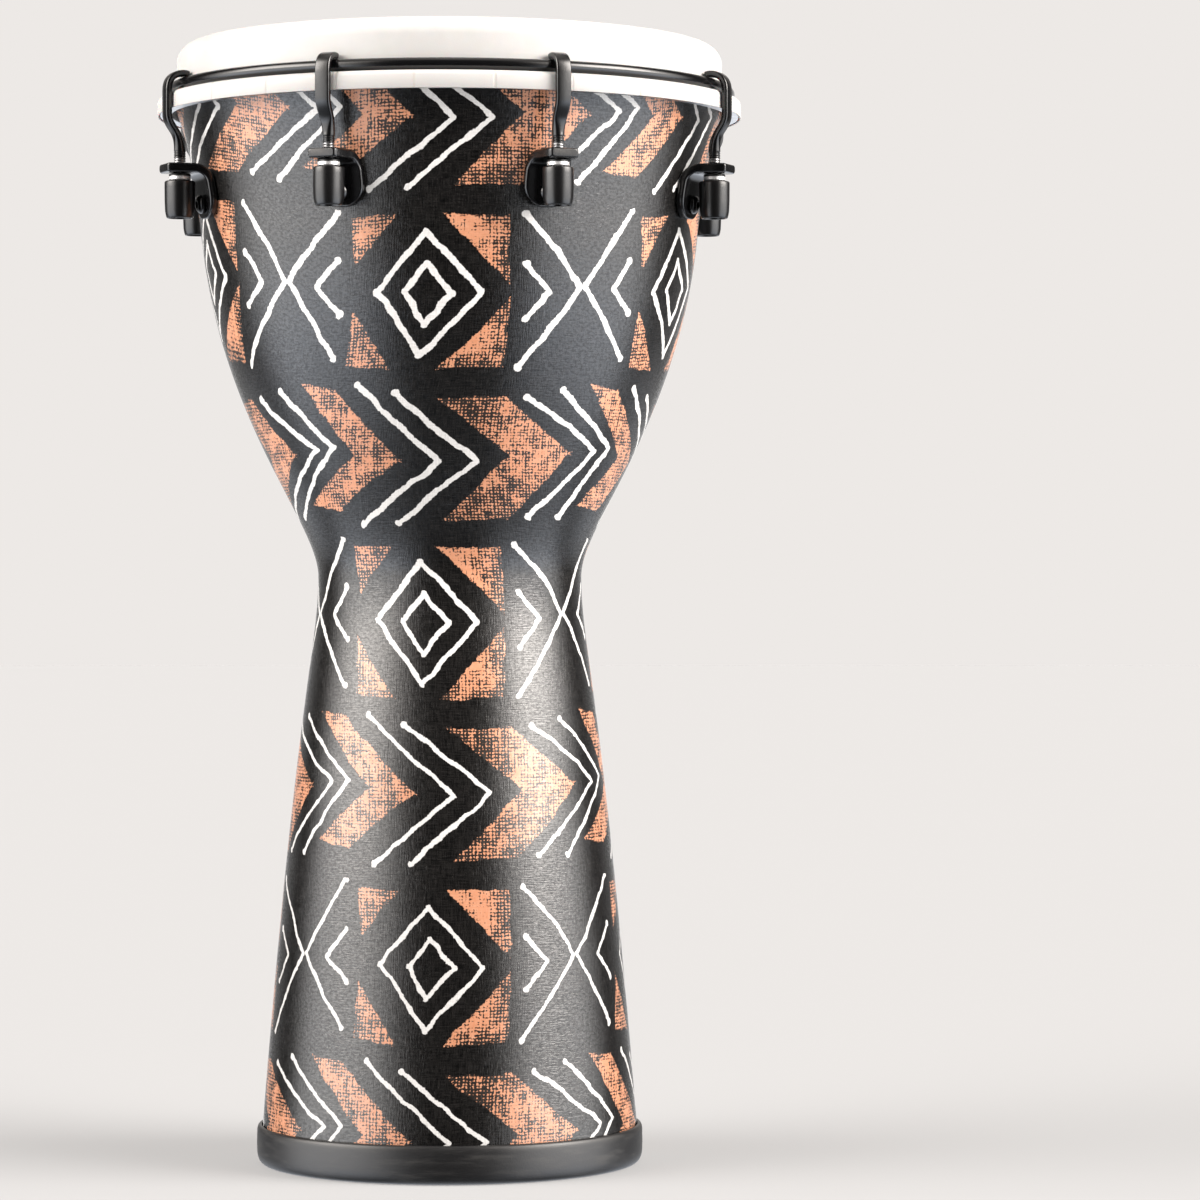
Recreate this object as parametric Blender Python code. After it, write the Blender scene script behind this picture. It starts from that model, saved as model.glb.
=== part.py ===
"""Key-tuned djembe, modelled as the separate pieces it is assembled from.

Metres, +Z up.  The origin is the centre of the foot's underside.
The front of the drum faces -Y and lies midway between two tuning lugs.
"""
import math

import bpy
import bmesh
from mathutils import Matrix, Vector

MM = 0.001
GAP = 0.3                      # clearance kept between touching pieces

# ---------------------------------------------------------------- dimensions (millimetres)
LUGS = 8                       # tuning lugs, equally spaced
SEGS = 40                      # facets round each large turned piece

TOP_Z = 513.0                  # playing surface of the head
FILM_T = 0.6                   # head film
WALL = 6.5                     # shell wall
WRAP_T = 0.5                   # printed cloth with its varnish

WAIST_R, WAIST_Z = 60.65, 269.5
SHOULDER_R, SHOULDER_Z = 114.3, 426.0
SHOULDER_SLOPE = 0.10          # dr/dz of the bowl where it meets the shoulder
RIM_R, RIM_Z = 126.8, 485.0    # widest line of the shell, under the head's collar
STEM_R, STEM_Z = 86.2, 18.0    # where the stem enters the foot ring
STEM_SLOPE = -0.08
EDGE_R = 124.4                 # shell above the rim, inside the head
EDGE_ROUND = 7.6               # rounding of the bearing edge

FOOT_R = 88.9
FOOT_H = 17.5

COLLAR_R = 134.2               # head collar over its flesh hoop
COLLAR_TOP, COLLAR_BOTTOM = 488.2, 480.2
HEAD_R = 125.4                 # outside of the film's upright wall

HOOP_R, HOOP_Z, HOOP_WIRE = 128.7, 491.2, 2.65

ROD_R = 130.2                  # distance of each tension rod from the drum's axis
ROD_D = 5.5
ROD_END_Z = 431.9              # the rods stop inside their nuts' sockets
STRAP_W, STRAP_T = 6.8, 2.9
STRAP_R = 136.15               # centre of the strap's thickness

FLANGE_TOP, FLANGE_T, FLANGE_TIP = 455.0, 4.2, 138.0
PLATE_T = 3.6
PLATE_BOTTOM = 430.8
BEND_R = 6.5

WASHER_R, WASHER_T = 4.9, 2.9
NUT_R, NUT_H = 6.9, 16.8
BORE_R = 3.25                  # holes that the rod runs through
BOLT_R, BOLT_Z = 2.5, 437.2
BOLT_HEAD_R, BOLT_HEAD_H = 4.3, 2.4
BOLT_HOLE_R = 3.0


# ---------------------------------------------------------------- small tools
def clear_scene():
    for obj in list(bpy.data.objects):
        bpy.data.objects.remove(obj, do_unlink=True)


def material(name, rgb, rough, metal=0.0):
    mat = bpy.data.materials.new(name)
    mat.use_nodes = True
    bsdf = mat.node_tree.nodes["Principled BSDF"]
    bsdf.inputs["Base Color"].default_value = (rgb[0], rgb[1], rgb[2], 1.0)
    bsdf.inputs["Roughness"].default_value = rough
    bsdf.inputs["Metallic"].default_value = metal
    return mat


def finish_mesh(name, bm, mat, smooth_angle=35.0):
    """Turn a bmesh in millimetres into a mesh in metres with clean outward faces."""
    bmesh.ops.recalc_face_normals(bm, faces=bm.faces[:])
    bmesh.ops.scale(bm, vec=(MM, MM, MM), verts=bm.verts[:])
    mesh = bpy.data.meshes.new(name)
    bm.to_mesh(mesh)
    bm.free()
    mesh.materials.append(mat)
    mesh.shade_smooth()
    mesh.set_sharp_from_angle(angle=math.radians(smooth_angle))
    return mesh


def place(name, mesh, location=(0.0, 0.0, 0.0), rotation=(0.0, 0.0, 0.0)):
    obj = bpy.data.objects.new(name, mesh)
    obj.location = Vector(location) * MM
    obj.rotation_euler = rotation
    bpy.context.scene.collection.objects.link(obj)
    return obj


def turned(bm, profile, segs, phase=0.0, closed=True):
    """Revolve a profile of (radius, height) about Z.  A radius of 0 becomes a pole."""
    rings = []
    for r, z in profile:
        if r < 1e-6:
            rings.append([bm.verts.new((0.0, 0.0, z))])
        else:
            rings.append([bm.verts.new((r * math.cos(phase + 2 * math.pi * k / segs),
                                        r * math.sin(phase + 2 * math.pi * k / segs), z))
                          for k in range(segs)])
    pairs = list(zip(rings, rings[1:]))
    if closed:
        pairs.append((rings[-1], rings[0]))
    for a, b in pairs:
        for k in range(segs):
            n = (k + 1) % segs
            if len(a) == 1 and len(b) == 1:
                continue
            if len(a) == 1:
                bm.faces.new((a[0], b[k], b[n]))
            elif len(b) == 1:
                bm.faces.new((a[k], b[0], a[n]))
            else:
                bm.faces.new((a[k], b[k], b[n], a[n]))


def loft(bm, rings):
    """Skin a list of equal rings of points and cap both ends."""
    made = [[bm.verts.new(p) for p in ring] for ring in rings]
    count = len(made[0])
    for a, b in zip(made, made[1:]):
        for k in range(count):
            n = (k + 1) % count
            bm.faces.new((a[k], a[n], b[n], b[k]))
    bm.faces.new(made[0][::-1])
    bm.faces.new(made[-1])


def bezier(p0, p1, p2, p3, steps, skip_first=False):
    out = []
    for i in range(1 if skip_first else 0, steps + 1):
        t = i / steps
        u = 1.0 - t
        out.append(tuple(u ** 3 * a + 3 * u * u * t * b + 3 * u * t * t * c + t ** 3 * d
                         for a, b, c, d in zip(p0, p1, p2, p3)))
    return out


def arc(cx, cz, radius, start, end, steps):
    """Points on a circle in the (radius, height) plane, angles in degrees."""
    return [(cx + radius * math.cos(math.radians(start + (end - start) * i / steps)),
             cz + radius * math.sin(math.radians(start + (end - start) * i / steps)))
            for i in range(steps + 1)]


def offset_inward(points, distance):
    """Move an outer profile, listed from bottom to top, towards the drum's axis."""
    out = []
    for i, (r, z) in enumerate(points):
        a = points[max(i - 1, 0)]
        b = points[min(i + 1, len(points) - 1)]
        dr, dz = b[0] - a[0], b[1] - a[1]
        length = math.hypot(dr, dz)
        out.append((r - distance * dz / length, z + distance * dr / length))
    return out


# ---------------------------------------------------------------- the goblet's outer line
def outer_line():
    """Outside of the cloth, from the foot ring up to the rim."""
    stem = bezier((STEM_R, STEM_Z),
                  (STEM_R + STEM_SLOPE * 203.0, STEM_Z + 203.0),
                  (WAIST_R, WAIST_Z - 32.8),
                  (WAIST_R, WAIST_Z), 6)
    bowl = bezier((WAIST_R, WAIST_Z),
                  (WAIST_R, WAIST_Z + 24.4),
                  (SHOULDER_R - SHOULDER_SLOPE * 86.0, SHOULDER_Z - 86.0),
                  (SHOULDER_R, SHOULDER_Z), 8, skip_first=True)
    shoulder = bezier((SHOULDER_R, SHOULDER_Z), (116.3, 446.0), (120.2, 472.0),
                      (RIM_R, RIM_Z), 5, skip_first=True)
    return [(STEM_R + 0.1, 4.6)] + stem + bowl + shoulder


def radius_at(z):
    line = outer_line()
    for (r0, z0), (r1, z1) in zip(line, line[1:]):
        if z0 <= z <= z1:
            return r0 + (r1 - r0) * (z - z0) / (z1 - z0)
    return line[-1][0]


LINE = outer_line()
PHASE = 0.0                                  # with 40 facets, one faces each lug squarely
LUG_ANGLES = [math.radians(22.5 + 45.0 * i) for i in range(LUGS)]

# The bracket's back lies on the chord of the shell between the plate's ends.
PLATE_TOP = FLANGE_TOP - FLANGE_T / 2 - BEND_R
BACK_LOW = radius_at(PLATE_BOTTOM) + GAP + 0.05
BACK_HIGH = radius_at(PLATE_TOP) + GAP + 0.05
LEAN = math.atan2(BACK_HIGH - BACK_LOW, PLATE_TOP - PLATE_BOTTOM)


def back_at(z):
    return BACK_LOW + (BACK_HIGH - BACK_LOW) * (z - PLATE_BOTTOM) / (PLATE_TOP - PLATE_BOTTOM)


def lug_point(side, radial, z):
    """Lug coordinates for a lug that faces -Y: sideways, outward, up."""
    return (side, -radial, z)


# ---------------------------------------------------------------- materials
def make_materials():
    return {
        "shell": material("moulded_shell", (0.16, 0.12, 0.09), 0.6),
        "wrap": material("printed_cloth", (0.05, 0.05, 0.055), 0.35),
        "rubber": material("black_rubber", (0.02, 0.02, 0.02), 0.5),
        "film": material("white_film", (0.93, 0.93, 0.92), 0.45),
        "alu": material("hoop_aluminium", (0.7, 0.7, 0.72), 0.35, 1.0),
        "black": material("black_coated_steel", (0.015, 0.015, 0.017), 0.3, 0.2),
        "zinc": material("bright_zinc", (0.75, 0.75, 0.76), 0.25, 1.0),
    }


# ---------------------------------------------------------------- shell, cloth, foot
def make_shell(mats, bolt_holes):
    outer = offset_inward(LINE, WRAP_T + GAP)
    inner = offset_inward(LINE, WRAP_T + GAP + WALL)
    inner = [inner[0]] + inner[1:-1:2] + [inner[-1]]
    edge = [(EDGE_R, RIM_Z + 3.4), (EDGE_R, TOP_Z - FILM_T - GAP - EDGE_ROUND)]
    edge += arc(EDGE_R - EDGE_ROUND, TOP_Z - FILM_T - GAP - EDGE_ROUND, EDGE_ROUND, 0, 90, 3)[1:]
    edge += [(EDGE_R - 11.5, TOP_Z - FILM_T - GAP - 0.9), (EDGE_R - 12.6, TOP_Z - 8.0)]
    # the wall's foot end is square and stands inside the foot ring's channel
    inner[0] = (inner[0][0], outer[0][1])
    profile = outer + edge + inner[::-1]
    bm = bmesh.new()
    turned(bm, profile, SEGS, PHASE)
    shell = place("shell", finish_mesh("shell", bm, mats["shell"]))
    cut = shell.modifiers.new("bolt_holes", "BOOLEAN")
    cut.operation, cut.solver, cut.object = "DIFFERENCE", "EXACT", bolt_holes

    inside = offset_inward(LINE, WRAP_T)
    bm = bmesh.new()
    turned(bm, LINE + inside[::-1], SEGS, PHASE)
    wrap = place("fabric_wrap", finish_mesh("fabric_wrap", bm, mats["wrap"]))
    cut = wrap.modifiers.new("bolt_holes", "BOOLEAN")
    cut.operation, cut.solver, cut.object = "DIFFERENCE", "EXACT", bolt_holes


def make_foot(mats):
    wall_out = LINE[0][0]                    # cloth surface inside the ring's channel
    wall_in = wall_out - (WRAP_T + GAP + WALL)
    profile = [
        (wall_out + GAP + 0.1, FOOT_H),
        (FOOT_R - 1.1, FOOT_H - 0.6),
        (FOOT_R - 0.2, FOOT_H - 2.6),
        (FOOT_R, 9.0),
        (FOOT_R - 0.3, 3.6),
        (FOOT_R - 1.4, 1.0),
        (FOOT_R - 3.4, 0.0),
        (wall_in - 1.2, 0.0),
        (wall_in - 2.9, 1.6),
        (wall_in - 2.9, 12.0),
        (wall_in - GAP - 0.1, 12.0),
        (wall_in - GAP - 0.1, 4.3),
        (wall_out + GAP + 0.1, 4.3),
    ]
    bm = bmesh.new()
    turned(bm, profile, SEGS, PHASE)
    place("foot_ring", finish_mesh("foot_ring", bm, mats["rubber"]))


# ---------------------------------------------------------------- head and its hoops
def make_head(mats):
    top_r = HEAD_R - 8.2
    outer = [(0.0, TOP_Z)]
    outer += arc(top_r, TOP_Z - 8.2, 8.2, 90, 0, 3)
    outer += [(HEAD_R, COLLAR_TOP + 1.6), (HEAD_R + 1.6, COLLAR_TOP),
              (COLLAR_R - 2.4, COLLAR_TOP), (COLLAR_R - 0.6, COLLAR_TOP - 0.7),
              (COLLAR_R, COLLAR_TOP - 2.4), (COLLAR_R, COLLAR_BOTTOM)]
    t = FILM_T
    inner = [(COLLAR_R - t, COLLAR_BOTTOM), (COLLAR_R - t, COLLAR_TOP - 2.4),
             (COLLAR_R - 0.6 - 0.42, COLLAR_TOP - 0.7 - 0.42),
             (COLLAR_R - 2.4, COLLAR_TOP - t), (HEAD_R + 1.6, COLLAR_TOP - t),
             (HEAD_R - t, COLLAR_TOP + 1.2)]
    inner += arc(top_r, TOP_Z - 8.2, 8.2 - t, 0, 90, 3)
    inner += [(0.0, TOP_Z - t)]
    bm = bmesh.new()
    turned(bm, outer + inner, SEGS, PHASE, closed=False)
    place("drumhead_film", finish_mesh("drumhead_film", bm, mats["film"]))

    # flat metal ring that the film is tucked over
    low, high = COLLAR_BOTTOM + 0.4, COLLAR_TOP - t - GAP
    inside, outside = RIM_R + 1.0, COLLAR_R - t - GAP
    bm = bmesh.new()
    turned(bm, [(inside, low), (outside, low), (outside, high - 1.8),
                (outside - 1.8, high), (inside, high)], SEGS, PHASE)
    place("flesh_hoop", finish_mesh("flesh_hoop", bm, mats["alu"]))

    # round-rod counterhoop
    ring = [(HOOP_R + HOOP_WIRE * math.cos(math.radians(45 * k + 22.5)),
             HOOP_Z + HOOP_WIRE * math.sin(math.radians(45 * k + 22.5))) for k in range(8)]
    bm = bmesh.new()
    turned(bm, ring, SEGS, PHASE)
    place("counterhoop", finish_mesh("counterhoop", bm, mats["black"], 60.0))


# ---------------------------------------------------------------- tension hook
def section(width, thick, chamfer, roundness, radius):
    """Eight points: a bar's chamfered section blended towards a round rod's."""
    ca, sa = math.cos(math.radians(22.5)), math.sin(math.radians(22.5))
    bar = (width / 2, thick / 2 - chamfer, width / 2 - chamfer, thick / 2)
    rod = (radius * ca, radius * sa, radius * sa, radius * ca)
    a, b, c, d = (p + (q - p) * roundness for p, q in zip(bar, rod))
    return [(a, -b), (a, b), (c, d), (-c, d), (-a, b), (-a, -b), (-c, -d), (c, -d)]


def make_hook(mats):
    """Strap over the counterhoop, bent inwards, drawn down to a threaded rod."""
    path = []                                # (radial, z, bar width, roundness)
    curl = HOOP_WIRE + GAP + 0.05 + STRAP_T / 2
    for deg in (118, 92):
        a = math.radians(deg)
        path.append((HOOP_R + curl * math.cos(a), HOOP_Z + curl * math.sin(a), STRAP_W, 0.0))
    start = (path[-1][0], path[-1][1])
    for r, z in bezier(start, (start[0] + 3.6, start[1] + 0.1), (STRAP_R, 494.2),
                       (STRAP_R, 488.0), 3, skip_first=True):
        path.append((r, z, STRAP_W, 0.0))
    path.append((STRAP_R, 477.5, STRAP_W, 0.0))
    bend = bezier((STRAP_R, 477.5), (STRAP_R, 471.5), (ROD_R, 470.0), (ROD_R, 461.5), 4,
                  skip_first=True)
    for i, (r, z) in enumerate(bend):
        k = (i + 1) / len(bend)
        path.append((r, z, STRAP_W - 0.9 * k, 0.0 if k < 0.7 else (0.35 if k < 1.0 else 0.85)))
    path.append((ROD_R, 459.0, STRAP_W, 1.0))
    path.append((ROD_R, ROD_END_Z, STRAP_W, 1.0))

    rings = []
    for i, (r, z, width, roundness) in enumerate(path):
        a = path[max(i - 1, 0)]
        b = path[min(i + 1, len(path) - 1)]
        tangent = Vector((b[0] - a[0], b[1] - a[1]))
        tangent.normalize()
        normal = Vector((-tangent.y, tangent.x))     # across the strap's thickness
        rings.append([lug_point(u, r - ROD_R + normal.x * v, z - FLANGE_TOP + normal.y * v)
                      for u, v in section(width, STRAP_T, 0.7, roundness, ROD_D / 2)])
    bm = bmesh.new()
    loft(bm, rings)
    return finish_mesh("tension_hook", bm, mats["black"], 40.0)


# ---------------------------------------------------------------- bracket
def make_bracket(mats):
    """Thick plate bolted to the shell and bent outwards into a flange for the rod."""
    mid = FLANGE_TOP - FLANGE_T / 2
    path = []                                # (radial, z, width, thickness)
    for z, width in ((PLATE_BOTTOM, 13.0), (PLATE_BOTTOM + 3.0, 19.0), (PLATE_BOTTOM + 9.0, 22.0),
                     (PLATE_TOP, 21.5)):
        path.append((back_at(z) + PLATE_T / 2, z, width, PLATE_T))
    r0 = path[-1][0]
    for i in range(1, 4):
        a = math.radians(30.0 * i)
        path.append((r0 + BEND_R * (1 - math.cos(a)), PLATE_TOP + BEND_R * math.sin(a),
                     21.5 - 1.3 * i, PLATE_T + (FLANGE_T - PLATE_T) * i / 3))
    path.append((ROD_R + 2.0, mid, 15.6, FLANGE_T))
    path.append((FLANGE_TIP - 1.8, mid, 13.6, FLANGE_T))
    path.append((FLANGE_TIP, mid, 9.5, FLANGE_T - 0.8))

    rings = []
    for i, (r, z, width, thick) in enumerate(path):
        a = path[max(i - 1, 0)]
        b = path[min(i + 1, len(path) - 1)]
        tangent = Vector((b[0] - a[0], b[1] - a[1]))
        if i == 3:
            tangent = Vector((path[3][0] - path[2][0], path[3][1] - path[2][1]))
        if i == 6:
            tangent = Vector((1.0, 0.0))
        tangent.normalize()
        normal = Vector((-tangent.y, tangent.x))
        rings.append([lug_point(u, r - ROD_R + normal.x * v, z - FLANGE_TOP + normal.y * v)
                      for u, v in section(width, thick, 0.8, 0.0, 1.0)])
    bm = bmesh.new()
    loft(bm, rings)
    return finish_mesh("tuning_bracket", bm, mats["black"], 35.0)


# ---------------------------------------------------------------- small turned hardware
def make_washer(mats):
    bm = bmesh.new()
    turned(bm, [(BORE_R, 0.0), (WASHER_R, 0.0), (WASHER_R, -WASHER_T), (BORE_R, -WASHER_T)], 10)
    return finish_mesh("nut_washer", bm, mats["zinc"])


def make_nut(mats):
    """Long sleeve nut with an open socket underneath."""
    bm = bmesh.new()
    turned(bm, [(BORE_R, 0.0), (NUT_R, 0.0), (NUT_R, -NUT_H + 1.5), (NUT_R - 0.8, -NUT_H),
                (5.1, -NUT_H), (5.1, -NUT_H + 2.6), (BORE_R, -NUT_H + 2.6)], 10)
    return finish_mesh("tuning_nut", bm, mats["black"])


def bolt_matrix(angle):
    """Bolt axis: square to the leaning bracket plate, local +Z outward, origin at the plate."""
    face = back_at(BOLT_Z) + PLATE_T + GAP
    turn = Matrix.Rotation(angle, 4, "Z")
    aim = Matrix.Rotation(math.pi / 2 + LEAN, 4, "X")
    return turn @ Matrix.Translation(Vector(lug_point(0.0, face, BOLT_Z)) * MM) @ aim


def bolt_reach():
    """Depth from the bolt head's seat to the shell's inner face."""
    return PLATE_T + GAP + (GAP + 0.05) + WRAP_T + GAP + WALL


def make_bolt(mats):
    depth = bolt_reach() + GAP + 4.0 + 1.2
    bm = bmesh.new()
    turned(bm, [(0.0, BOLT_HEAD_H), (BOLT_HEAD_R * 0.62, BOLT_HEAD_H - 0.25),
                (BOLT_HEAD_R, BOLT_HEAD_H - 1.5), (BOLT_HEAD_R, 0.0),
                (BOLT_R, 0.0), (BOLT_R, -depth), (0.0, -depth)], 8, closed=False)
    return finish_mesh("bracket_bolt", bm, mats["black"])


def make_lock_nut(mats):
    seat = -(bolt_reach() + GAP + 0.25)
    bm = bmesh.new()
    turned(bm, [(3.35, seat), (4.62, seat), (4.62, seat - 4.0), (3.35, seat - 4.0)], 6)
    return finish_mesh("inner_lock_nut", bm, mats["zinc"], 20.0)


def cutter(name, cylinders, radius):
    """Several cylinders in one cutting object: (matrix, low z, high z) each, in millimetres."""
    bm = bmesh.new()
    for matrix, low, high in cylinders:
        part = bmesh.new()
        turned(part, [(0.0, high), (radius, high), (radius, low), (0.0, low)], 10, closed=False)
        bmesh.ops.recalc_face_normals(part, faces=part.faces[:])
        bmesh.ops.scale(part, vec=(MM, MM, MM), verts=part.verts[:])
        bmesh.ops.transform(part, matrix=matrix, verts=part.verts[:])
        piece = bpy.data.meshes.new(name + "_piece")
        part.to_mesh(piece)
        part.free()
        bm.from_mesh(piece)
        bpy.data.meshes.remove(piece)
    mesh = bpy.data.meshes.new(name)
    bm.to_mesh(mesh)
    bm.free()
    obj = bpy.data.objects.new(name, mesh)
    obj.hide_render = True
    obj.display_type = "WIRE"
    bpy.context.scene.collection.objects.link(obj)
    return obj


# ---------------------------------------------------------------- assembly
def build():
    clear_scene()
    mats = make_materials()

    bolt_holes = cutter("bolt_hole_cutter",
                        [(bolt_matrix(a), -24.0, 8.0) for a in LUG_ANGLES], BOLT_HOLE_R)
    rod_holes = cutter("rod_hole_cutter",
                       [(Matrix.Rotation(a, 4, "Z")
                         @ Matrix.Translation(Vector(lug_point(0.0, ROD_R, 0.0)) * MM),
                         FLANGE_TOP - 12.0, FLANGE_TOP + 6.0) for a in LUG_ANGLES], BORE_R)

    make_shell(mats, bolt_holes)
    make_foot(mats)
    make_head(mats)

    hook = make_hook(mats)
    bracket = make_bracket(mats)
    washer = make_washer(mats)
    nut = make_nut(mats)
    bolt = make_bolt(mats)
    lock_nut = make_lock_nut(mats)

    washer_top = FLANGE_TOP - FLANGE_T - GAP
    nut_top = washer_top - WASHER_T - GAP
    for i, angle in enumerate(LUG_ANGLES):
        tag = "_%d" % (i + 1)
        x, y = ROD_R * math.sin(angle), -ROD_R * math.cos(angle)
        turn = (0.0, 0.0, angle)
        place("tension_hook" + tag, hook, (x, y, FLANGE_TOP), turn)
        plate = place("tuning_bracket" + tag, bracket, (x, y, FLANGE_TOP), turn)
        for label, tool in (("rod_hole", rod_holes), ("bolt_hole", bolt_holes)):
            cut = plate.modifiers.new(label, "BOOLEAN")
            cut.operation, cut.solver, cut.object = "DIFFERENCE", "EXACT", tool
        place("nut_washer" + tag, washer, (x, y, washer_top), turn)
        place("tuning_nut" + tag, nut, (x, y, nut_top), turn)
        for label, mesh in (("bracket_bolt", bolt), ("inner_lock_nut", lock_nut)):
            obj = place(label + tag, mesh)
            obj.matrix_world = bolt_matrix(angle)


build()
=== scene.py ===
"""Looks of the key-tuned djembe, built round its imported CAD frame.

Every visible piece is remodelled finely in the frame's own coordinates and given a
procedural material.  Lengths in the geometry part are millimetres until they reach a mesh.
"""
import math

import bmesh
import bpy
import numpy as np
from mathutils import Matrix, Vector


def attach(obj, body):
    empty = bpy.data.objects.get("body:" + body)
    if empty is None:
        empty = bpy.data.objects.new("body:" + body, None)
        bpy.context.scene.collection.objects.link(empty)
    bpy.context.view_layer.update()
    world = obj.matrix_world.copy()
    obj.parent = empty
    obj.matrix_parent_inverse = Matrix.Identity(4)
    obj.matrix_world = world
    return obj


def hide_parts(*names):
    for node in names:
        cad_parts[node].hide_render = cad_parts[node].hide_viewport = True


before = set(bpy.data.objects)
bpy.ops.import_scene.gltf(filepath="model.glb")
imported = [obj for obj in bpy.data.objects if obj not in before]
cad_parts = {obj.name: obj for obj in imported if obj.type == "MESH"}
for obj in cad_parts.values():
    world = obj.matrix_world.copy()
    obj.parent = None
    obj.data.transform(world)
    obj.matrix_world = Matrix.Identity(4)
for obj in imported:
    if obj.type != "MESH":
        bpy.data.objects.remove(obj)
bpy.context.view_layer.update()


MM = 0.001
GAP = 0.3
LUGS = 8

# ------------------------------------------------------------------ the CAD's dimensions
TOP_Z, FILM_T, WALL, WRAP_T = 513.0, 0.6, 6.5, 0.5
WAIST_R, WAIST_Z = 60.65, 269.5
SHOULDER_R, SHOULDER_Z, SHOULDER_SLOPE = 114.3, 426.0, 0.10
RIM_R, RIM_Z = 126.8, 485.0
STEM_R, STEM_Z, STEM_SLOPE = 86.2, 18.0, -0.08
EDGE_R, EDGE_ROUND = 124.4, 7.6
FOOT_R, FOOT_H = 88.9, 17.5
COLLAR_R, COLLAR_TOP, COLLAR_BOTTOM, HEAD_R = 134.2, 488.2, 480.2, 125.4
HOOP_R, HOOP_Z, HOOP_WIRE = 128.7, 491.2, 2.65
ROD_R, ROD_D = 130.2, 5.5
ROD_END = 431.9                          # the rods stop inside their nuts' sockets
STRAP_W, STRAP_T, STRAP_R = 6.8, 2.9, 136.15
FLANGE_TOP, FLANGE_T, FLANGE_TIP = 455.0, 4.2, 138.0
PLATE_T, PLATE_BOTTOM, BEND_R = 3.6, 430.8, 6.5
WASHER_R, WASHER_T = 4.9, 2.9
NUT_R, NUT_H, BORE_R = 6.9, 16.8, 3.25
BOLT_R, BOLT_Z, BOLT_HEAD_R, BOLT_HEAD_H, BOLT_HOLE_R = 2.5, 437.2, 4.3, 2.4, 3.0
THREAD_PITCH = 1.058
LUG_ANGLES = [math.radians(22.5 + 45.0 * i) for i in range(LUGS)]
VIEW_AZ = math.radians(1.33)             # the camera stands this far to the +X side of -Y


# ------------------------------------------------------------------ curves
def bezier(p0, p1, p2, p3, steps, skip_first=False):
    out = []
    for i in range(1 if skip_first else 0, steps + 1):
        t = i / steps
        s = 1.0 - t
        out.append(tuple(s ** 3 * a + 3 * s * s * t * b + 3 * s * t * t * c + t ** 3 * d
                         for a, b, c, d in zip(p0, p1, p2, p3)))
    return out


def arc(cx, cz, radius, start, end, steps):
    return [(cx + radius * math.cos(math.radians(start + (end - start) * i / steps)),
             cz + radius * math.sin(math.radians(start + (end - start) * i / steps)))
            for i in range(steps + 1)]


def outer_line():
    stem = bezier((STEM_R, STEM_Z), (STEM_R + STEM_SLOPE * 203.0, STEM_Z + 203.0),
                  (WAIST_R, WAIST_Z - 32.8), (WAIST_R, WAIST_Z), 46)
    bowl = bezier((WAIST_R, WAIST_Z), (WAIST_R, WAIST_Z + 24.4),
                  (SHOULDER_R - SHOULDER_SLOPE * 86.0, SHOULDER_Z - 86.0),
                  (SHOULDER_R, SHOULDER_Z), 46, skip_first=True)
    shoulder = bezier((SHOULDER_R, SHOULDER_Z), (116.3, 446.0), (120.2, 472.0),
                      (RIM_R, RIM_Z), 16, skip_first=True)
    return [(STEM_R + 0.1, 4.6), (STEM_R + 0.05, 11.0)] + stem + bowl + shoulder


LINE = outer_line()
_L = np.array(LINE)
_S = np.r_[0.0, np.cumsum(np.hypot(*np.diff(_L, axis=0).T))]


def offset_inward(points, distance):
    out = []
    for i, (r, z) in enumerate(points):
        a = points[max(i - 1, 0)]
        b = points[min(i + 1, len(points) - 1)]
        dr, dz = b[0] - a[0], b[1] - a[1]
        length = math.hypot(dr, dz)
        out.append((r - distance * dz / length, z + distance * dr / length))
    return out


def coarse_radius(z):
    """Radius the CAD used when it set the bracket against the shell."""
    stem = bezier((STEM_R, STEM_Z), (STEM_R + STEM_SLOPE * 203.0, STEM_Z + 203.0),
                  (WAIST_R, WAIST_Z - 32.8), (WAIST_R, WAIST_Z), 6)
    bowl = bezier((WAIST_R, WAIST_Z), (WAIST_R, WAIST_Z + 24.4),
                  (SHOULDER_R - SHOULDER_SLOPE * 86.0, SHOULDER_Z - 86.0),
                  (SHOULDER_R, SHOULDER_Z), 8, skip_first=True)
    shoulder = bezier((SHOULDER_R, SHOULDER_Z), (116.3, 446.0), (120.2, 472.0),
                      (RIM_R, RIM_Z), 5, skip_first=True)
    pts = stem + bowl + shoulder
    return float(np.interp(z, [p[1] for p in pts], [p[0] for p in pts]))


PLATE_TOP = FLANGE_TOP - FLANGE_T / 2 - BEND_R
BACK_LOW = coarse_radius(PLATE_BOTTOM) + GAP + 0.05
BACK_HIGH = coarse_radius(PLATE_TOP) + GAP + 0.05
LEAN = math.atan2(BACK_HIGH - BACK_LOW, PLATE_TOP - PLATE_BOTTOM)


def back_at(z):
    return BACK_LOW + (BACK_HIGH - BACK_LOW) * (z - PLATE_BOTTOM) / (PLATE_TOP - PLATE_BOTTOM)


# ------------------------------------------------------------------ meshes
def to_object(name, verts, faces, mat, body, nodes=(), smooth=35.0, matrix=None):
    bm = bmesh.new()
    made = [bm.verts.new(v) for v in verts]
    for f in faces:
        try:
            bm.faces.new([made[i] for i in f])
        except ValueError:
            pass
    bmesh.ops.recalc_face_normals(bm, faces=bm.faces[:])
    bmesh.ops.scale(bm, vec=(MM, MM, MM), verts=bm.verts[:])
    if matrix is not None:
        bmesh.ops.transform(bm, matrix=matrix, verts=bm.verts[:])
    mesh = bpy.data.meshes.new(name)
    bm.to_mesh(mesh)
    bm.free()
    mesh.materials.append(mat)
    mesh.shade_smooth()
    if smooth:
        mesh.set_sharp_from_angle(angle=math.radians(smooth))
    obj = bpy.data.objects.new(name, mesh)
    bpy.context.scene.collection.objects.link(obj)
    if body:
        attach(obj, body)
        if nodes:
            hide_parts(*nodes)
    return obj


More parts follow.
